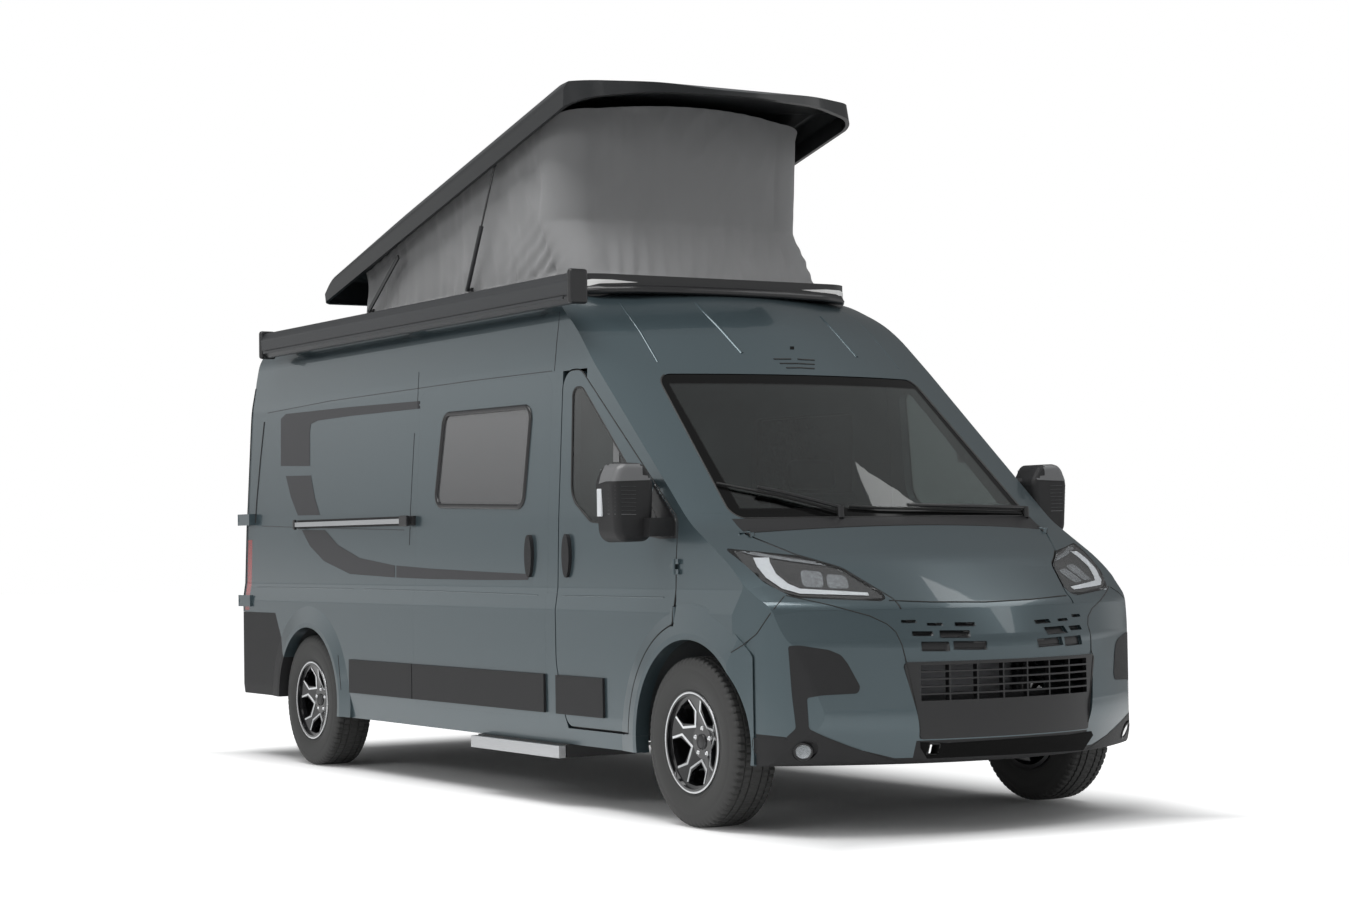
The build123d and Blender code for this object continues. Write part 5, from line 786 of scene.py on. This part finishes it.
for k in range(RIB_COUNT):  # ribs across the mirror's front, the lowest one pale
    y = RIB_TOP_PX + RIB_PITCH_PX * k
    finish = GREY_SATIN if k == RIB_COUNT - 1 else DARK_RUN
    rib = trace(((608, y), (636, y + 0.5)), photo_ray, ["cab_fittings_right"], 0.0002, 6.0, closed=False)
    if len(rib) > 1:
        tube(f"mirror_rib_right_{k}", rib, RIB_RADIUS, finish, "cab_door_right", "dark_plastic")
        tube(f"mirror_rib_left_{k}", mirrored(rib), RIB_RADIUS, finish, "cab_door_left", "dark_plastic")

# Wipers laid on the windscreen and scuttle
WIPERS_PX = (
    ((716, 485), (745, 491), (776, 497), (808, 505), (838, 513)),
    ((848, 508), (880, 510), (930, 511), (980, 512), (1022, 513)),
)
for k, line in enumerate(WIPERS_PX):
    blade = trace(line, photo_ray, ["windscreen", "cowl", "bonnet", "header_panel"], 0.012, 8.0, closed=False)
    if len(blade) > 1:
        tube(f"wiper_blade_{k}", blade, 0.006, SEAL, "body", "dark_plastic")
        arm = [p + Vector((0.012, 0, 0.016)) for p in blade[len(blade) // 3:]]
        tube(f"wiper_arm_{k}", arm, 0.008, BLACK_SATIN, "body", "dark_plastic")
        tip = arm[-1]
        tube(f"wiper_spindle_{k}", [tip + Vector((0, 0, 0.004)), tip + Vector((0.004, 0, -0.045))], 0.016, BLACK_SATIN,
             "body", "dark_plastic")

# Mirror glass and side repeater
for tag, side in SIDES.items():
    body = f"cab_door_{tag}"
    y0, y1 = sorted((side * 1.075, side * 1.225))
    crate(f"mirror_glass_{tag}", (1.6885, y0, 1.345), (1.6935, y1, 1.530), MIRROR_FACE, body, "glass", 0.002)
    crate(f"mirror_glass_low_{tag}", (1.6885, y0, 1.245), (1.6935, y1, 1.325), MIRROR_FACE, body, "glass", 0.002)
    y0, y1 = sorted((side * 1.2425, side * 1.2530))
    crate(f"mirror_repeater_{tag}", (1.700, y0, 1.325), (1.738, y1, 1.445), WHITE_LAMP, body, "lamp_clear", 0.004)

# Front seats with bolsters and head restraints
SEAT_BACK_LEAN = Matrix.Rotation(math.radians(-11), 3, "Y")
for tag, side in SIDES.items():
    y = side * 0.430
    for part, low, high, turn, finish in (
        ("cushion", (1.000, y - 0.240, 0.725), (1.485, y + 0.240, 0.865), None, SEAT),
        ("back", (0.890, y - 0.235, 0.820), (1.010, y + 0.235, 1.440), SEAT_BACK_LEAN, SEAT),
        ("head", (0.845, y - 0.130, 1.455), (0.925, y + 0.130, 1.605), SEAT_BACK_LEAN, SEAT_TRIM),
        ("bolster_in", (0.945, y - 0.245, 0.880), (1.040, y - 0.185, 1.380), SEAT_BACK_LEAN, SEAT_TRIM),
        ("bolster_out", (0.945, y + 0.185, 0.880), (1.040, y + 0.245, 1.380), SEAT_BACK_LEAN, SEAT_TRIM),
        ("plinth", (1.030, y - 0.170, 0.545), (1.410, y + 0.170, 0.730), None, INSIDE),
    ):
        bevel = 0.035 if part != "plinth" else 0.012
        obj = crate(f"seat_{part}_{tag}", low, high, finish, "body", "seat_fabric", bevel, turn=turn)
        if part == "cushion":
            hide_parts("front_seats")

# Raised-roof tent: one cloth skin with gathers and rounded front corners
TENT_X0, TENT_KINK_Z, TENT_TOP_Z = -1.757, 2.790, 3.340
TENT_HALF, TENT_LOW = 0.740, 2.4945
ROOF_PIVOT_X, ROOF_RIM_Z = -2.570, 2.502
TENT_CORNER = 0.200
TENT_FRONTS = ((0.600, 0.695), (0.400, 0.530), (0.410, 0.600))  # x at the corner and in the middle: foot, kink and top


def tent_top(x):
    lift = 0.084 if x > 0 else 0.040 + (0.084 - 0.040) * max(0.0, x - TENT_X0) / -TENT_X0
    return ROOF_RIM_Z + (x - ROOF_PIVOT_X) * math.tan(ROOF_TILT) + lift


def tent_front(z, y):
    """How far forward the tent's front stands at a height and distance from the middle."""
    foot, kink, top = TENT_FRONTS
    if z < TENT_KINK_Z:
        share, low, high = (z - TENT_LOW) / (TENT_KINK_Z - TENT_LOW), foot, kink
    else:
        share, low, high = min(1.0, (z - TENT_KINK_Z) / (TENT_TOP_Z - TENT_KINK_Z)), kink, top
    corner, middle = (a + (b - a) * share for a, b in zip(low, high))
    return corner + (middle - corner) * (1 - (y / TENT_HALF) ** 2)


def tent_ring():
    """Shares along the tent's plan: right side from the rear, front, then the left side back to the rear."""
    side, corner, across = 110, 10, 90
    for k in range(side):
        yield ("side", k / side, RIGHT)
    for k in range(corner):
        yield ("corner", k / corner, RIGHT)
    for k in range(across):
        yield ("front", k / across, RIGHT)
    for k in range(corner):
        yield ("corner", 1 - k / corner, LEFT)
    for k in range(side):
        yield ("side", 1 - k / side, LEFT)
    for k in range(60):
        yield ("rear", k / 60, LEFT)


def tent_point(kind, share, side, v):
    x, z = 0.0, TENT_LOW
    for _ in range(6):
        across = (1 - 2 * share) * (TENT_HALF - TENT_CORNER) if kind == "front" else TENT_HALF - TENT_CORNER
        front = tent_front(z, across)
        if kind == "side":
            x, y = TENT_X0 + share * (front - TENT_CORNER - TENT_X0), side * TENT_HALF
            n = Vector((0, side, 0))
        elif kind == "corner":
            a = share * math.pi / 2
            x = front - TENT_CORNER + TENT_CORNER * math.sin(a)
            y = side * (TENT_HALF - TENT_CORNER + TENT_CORNER * math.cos(a))
            n = Vector((math.sin(a), side * math.cos(a), 0))
        elif kind == "front":
            x, y, n = front, side * across, Vector((1, 0, 0))
        else:
            x, y, n = TENT_X0, side * (1 - 2 * share) * TENT_HALF, Vector((-1, 0, 0))
        z = TENT_LOW + v * (tent_top(x) - TENT_LOW)
    return Vector((x, y, z)), n


TENT_ROWS = 70
ring = list(tent_ring())
tent_verts, tent_faces = [], []
for row in range(TENT_ROWS + 1):
    v = row / TENT_ROWS
    for k, (kind, share, side) in enumerate(ring):
        p, n = tent_point(kind, share, side, v)
        run = p.x * 0.9 + p.y * 1.1
        low = math.exp(-(p.z - TENT_LOW) / 0.11)
        top = math.exp(-(tent_top(p.x) - p.z) / 0.14)
        folds = math.sin(run * 62 + 1.7 * math.sin(run * 9)) * (0.0045 * low + 0.0035 * top)
        slack = noise.noise(Vector((p.x * 3.1, p.y * 3.1, p.z * 1.6))) * 0.016
        crease = abs(noise.noise(Vector((p.x * 6 + p.z * 3.0, p.y * 6 - p.z * 2.0, p.z * 1.2)))) * -0.016
        sag = -0.012 * math.sin(math.pi * min(1, max(0, v)))
        near = math.exp(-((p.z - TENT_LOW - 0.10) / 0.16) ** 2) * math.exp(-((p.x - 0.45) / 0.35) ** 2)
        pull = math.sin((p.x * 0.9 - p.z * 1.4 * (1 if kind != "front" else 0) + p.y * 1.6) * 46) * 0.006 * near
        bag = noise.noise(Vector((p.x * 7.0 + 3.1, p.y * 7.0, p.z * 4.5))) * 0.009
        hold = min(1.0, (p.z - TENT_LOW) / 0.03) * min(1.0, max(0.0, tent_top(p.x) - p.z) / 0.03)
        push = (folds + (slack + crease + sag + pull + bag) * hold) * (0.6 if kind == "corner" else 1.0)
        tent_verts.append(p + n * min(0.004, push - 0.002))
for row in range(TENT_ROWS):
    for k in range(len(ring)):
        a, b = row * len(ring) + k, row * len(ring) + (k + 1) % len(ring)
        tent_faces.append((a, b, b + len(ring), a + len(ring)))
tent = piece("tent_skin", tent_verts, tent_faces, CLOTH, "body", "tent_cloth")
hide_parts("tent")
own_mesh(tent)

# Roof front: deflector rail below the tent
RAIL_BOW = [(-0.80, 0.640), (-0.70, 0.790), (-0.55, 0.865), (-0.30, 0.905), (0.0, 0.918), (0.30, 0.905), (0.55, 0.865),
            (0.70, 0.790), (0.80, 0.640)]  # y and x along its front
rail_points = []
for (y0, x0), (y1, x1) in zip(RAIL_BOW, RAIL_BOW[1:]):
    for k in range(6):
        t = k / 6
        rail_points.append((x0 + (x1 - x0) * t, y0 + (y1 - y0) * t))
rail_points.append((RAIL_BOW[-1][1], RAIL_BOW[-1][0]))
verts, faces = [], []
for x, y in rail_points:
    verts += [Vector((x, y, 2.395)), Vector((x + 0.012, y * 1.01, 2.405)), Vector((x - 0.004, y, 2.434)),
              Vector((x - 0.055, y * 0.97, 2.440)), Vector((x - 0.075, y * 0.97, 2.395))]
for k in range(len(rail_points) - 1):
    for i in range(5):
        a, b = k * 5 + i, k * 5 + (i + 1) % 5
        faces.append((a, b, b + 5, a + 5))
faces += [(0, 1, 2, 3, 4), tuple(len(verts) - 5 + i for i in (4, 3, 2, 1, 0))]
piece("roof_deflector", verts, faces, BLACK_SATIN, "body", "roof_frame_plastic")

# Awning: front rail and end caps
crate("awning_front_rail", (-2.500, -1.0585, 2.330), (1.070, -1.0500, 2.344), AWNING, "body", "awning_metal", 0.002)
for tag, x0, x1 in (("front", 1.104, 1.140), ("rear", -2.570, -2.534)):
    crate(f"awning_end_{tag}", (x0, -1.0585, 2.304), (x1, -0.9600, 2.466), BLACK_SATIN, "body", "awning_metal", 0.016)

# Studio: white floor and backdrop, soft lights and the photograph's camera
BACKDROP = surface("studio_floor", (0.90, 0.90, 0.90), 0.8, grain=5, bump=0.0, tint=0.01, spec=0.1)
SHADOW_ZONE = (2.85, 0.75)  # half length and half width of the floor that stays lit by the lamps alone
SHADOW_FADE = 0.75  # distance over which the glow comes up past that zone
FLOOR_GLOW = 0.75
GLOSSY_SHARE = 0.4  # how much of the glow glossy rays see
FLOOR_HALF = 60


def seen_directly(nodes, links):
    """The light path node, and 1 for rays from the camera and through glass."""
    path = nodes.new("ShaderNodeLightPath")
    most = math_node(nodes, links, "MAXIMUM", path.outputs["Is Camera Ray"], path.outputs["Is Transmission Ray"])
    return path, most


def light_floor():
    """The floor glows white away from the vehicle for rays that look at it, and more weakly for glossy rays."""
    nodes, links = BACKDROP.node_tree.nodes, BACKDROP.node_tree.links
    shader = nodes["Principled BSDF"]
    where = nodes.new("ShaderNodeNewGeometry")
    parts = nodes.new("ShaderNodeSeparateXYZ")
    links.new(where.outputs["Position"], parts.inputs["Vector"])
    away = [math_node(nodes, links, "SUBTRACT", math_node(nodes, links, "ABSOLUTE", parts.outputs[axis]), half)
            for axis, half in zip("XY", SHADOW_ZONE)]
    far = math_node(nodes, links, "MAXIMUM", *away)
    ramp = nodes.new("ShaderNodeMapRange")
    ramp.interpolation_type = "SMOOTHSTEP"
    ramp.inputs["From Min"].default_value = 0.0
    ramp.inputs["From Max"].default_value = SHADOW_FADE
    ramp.inputs["To Max"].default_value = FLOOR_GLOW
    links.new(far, ramp.inputs["Value"])
    path, seen = seen_directly(nodes, links)
    glossy = math_node(nodes, links, "MULTIPLY", path.outputs["Is Glossy Ray"], GLOSSY_SHARE)
    seen = math_node(nodes, links, "MAXIMUM", seen, glossy)
    links.new(math_node(nodes, links, "MULTIPLY", ramp.outputs["Result"], seen), shader.inputs["Emission Strength"])
    shader.inputs["Emission Color"].default_value = (1, 1, 1, 1)


light_floor()
floor_corners = [(x * FLOOR_HALF, y * FLOOR_HALF, 0) for x, y in ((-1, -1), (1, -1), (1, 1), (-1, 1))]
floor = piece("studio_floor", floor_corners, [(0, 1, 2, 3)], BACKDROP, "body", "paint")
floor.parent = None
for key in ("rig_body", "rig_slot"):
    if key in floor:
        del floor[key]
world = bpy.data.worlds.new("studio")
bpy.context.scene.world = world
world.use_nodes = True
nodes, links = world.node_tree.nodes, world.node_tree.links
room = nodes["Background"]
where = nodes.new("ShaderNodeTexCoord")
parts = nodes.new("ShaderNodeSeparateXYZ")
links.new(where.outputs["Generated"], parts.inputs["Vector"])
ROOM_LEVELS = (  # height, level
    (0.0, 1.0), (0.025, 0.45), (0.05, 0.42), (0.11, 0.95), (0.17, 0.80), (0.28, 0.45), (0.70, 0.30), (1.0, 0.42),
)
ramp = nodes.new("ShaderNodeValToRGB")
for k, (position, level) in enumerate(ROOM_LEVELS):
    stops = ramp.color_ramp.elements
    stop = stops[0] if k == 0 else stops[-1] if k == len(ROOM_LEVELS) - 1 else stops.new(position)
    stop.position = position
    stop.color = (level * 0.985, level * 0.995, level, 1)
links.new(parts.outputs["Z"], ramp.inputs["Fac"])
links.new(ramp.outputs["Color"], room.inputs["Color"])
far_wall = nodes.new("ShaderNodeVectorMath")  # the wall behind the vehicle is darker above the backdrop
far_wall.operation = "DOT_PRODUCT"
far_wall.inputs[1].default_value = (-0.80, 0.60, 0)
links.new(where.outputs["Generated"], far_wall.inputs[0])
dim = nodes.new("ShaderNodeMapRange")
dim.interpolation_type = "SMOOTHSTEP"
dim.inputs["From Min"].default_value = 0.45
dim.inputs["From Max"].default_value = 0.95
dim.inputs["To Min"].default_value = 1.0
dim.inputs["To Max"].default_value = 0.30
links.new(far_wall.outputs["Value"], dim.inputs["Value"])
links.new(dim.outputs["Result"], room.inputs["Strength"])
white = nodes.new("ShaderNodeBackground")
white.inputs["Color"].default_value = (1, 1, 1, 1)
both = nodes.new("ShaderNodeMixShader")
_, seen = seen_directly(nodes, links)
links.new(seen, both.inputs["Fac"])
links.new(room.outputs["Background"], both.inputs[1])
links.new(white.outputs["Background"], both.inputs[2])
links.new(both.outputs["Shader"], nodes["World Output"].inputs["Surface"])


def soft_light(name, at, aim, size, power):
    light = bpy.data.lights.new(name, "AREA")
    light.shape = "RECTANGLE"
    light.size, light.size_y = size
    light.energy = power
    obj = bpy.data.objects.new(name, light)
    bpy.context.scene.collection.objects.link(obj)
    obj.location = at
    obj.rotation_euler = (Vector(aim) - Vector(at)).to_track_quat("-Z", "Y").to_euler()
    return obj


soft_light("light_top", (1.5, -3.2, 8.0), (0.5, 0, 1), (8.0, 3.0), 420)
soft_light("light_bonnet", (3.1, 2.8, 4.7), (2.7, 0.4, 1.1), (3.2, 1.7), 32)
soft_light("light_side", (2.0, -9.0, 5.0), (0, 0, 1.2), (7.0, 1.6), 120)

cam = bpy.data.cameras.new("camera")
cam.lens, cam.sensor_width, cam.sensor_fit = CAMERA_LENS, CAMERA_SENSOR, "HORIZONTAL"
cam.clip_end = 200
camera = bpy.data.objects.new("camera", cam)
bpy.context.scene.collection.objects.link(camera)
pose = Matrix((CAM_RIGHT, CAM_UP, -CAM_AHEAD)).transposed().to_4x4()
pose.translation = CAMERA_AT
camera.matrix_world = pose
bpy.context.scene.camera = camera
bpy.context.scene.view_settings.view_transform = "Standard"
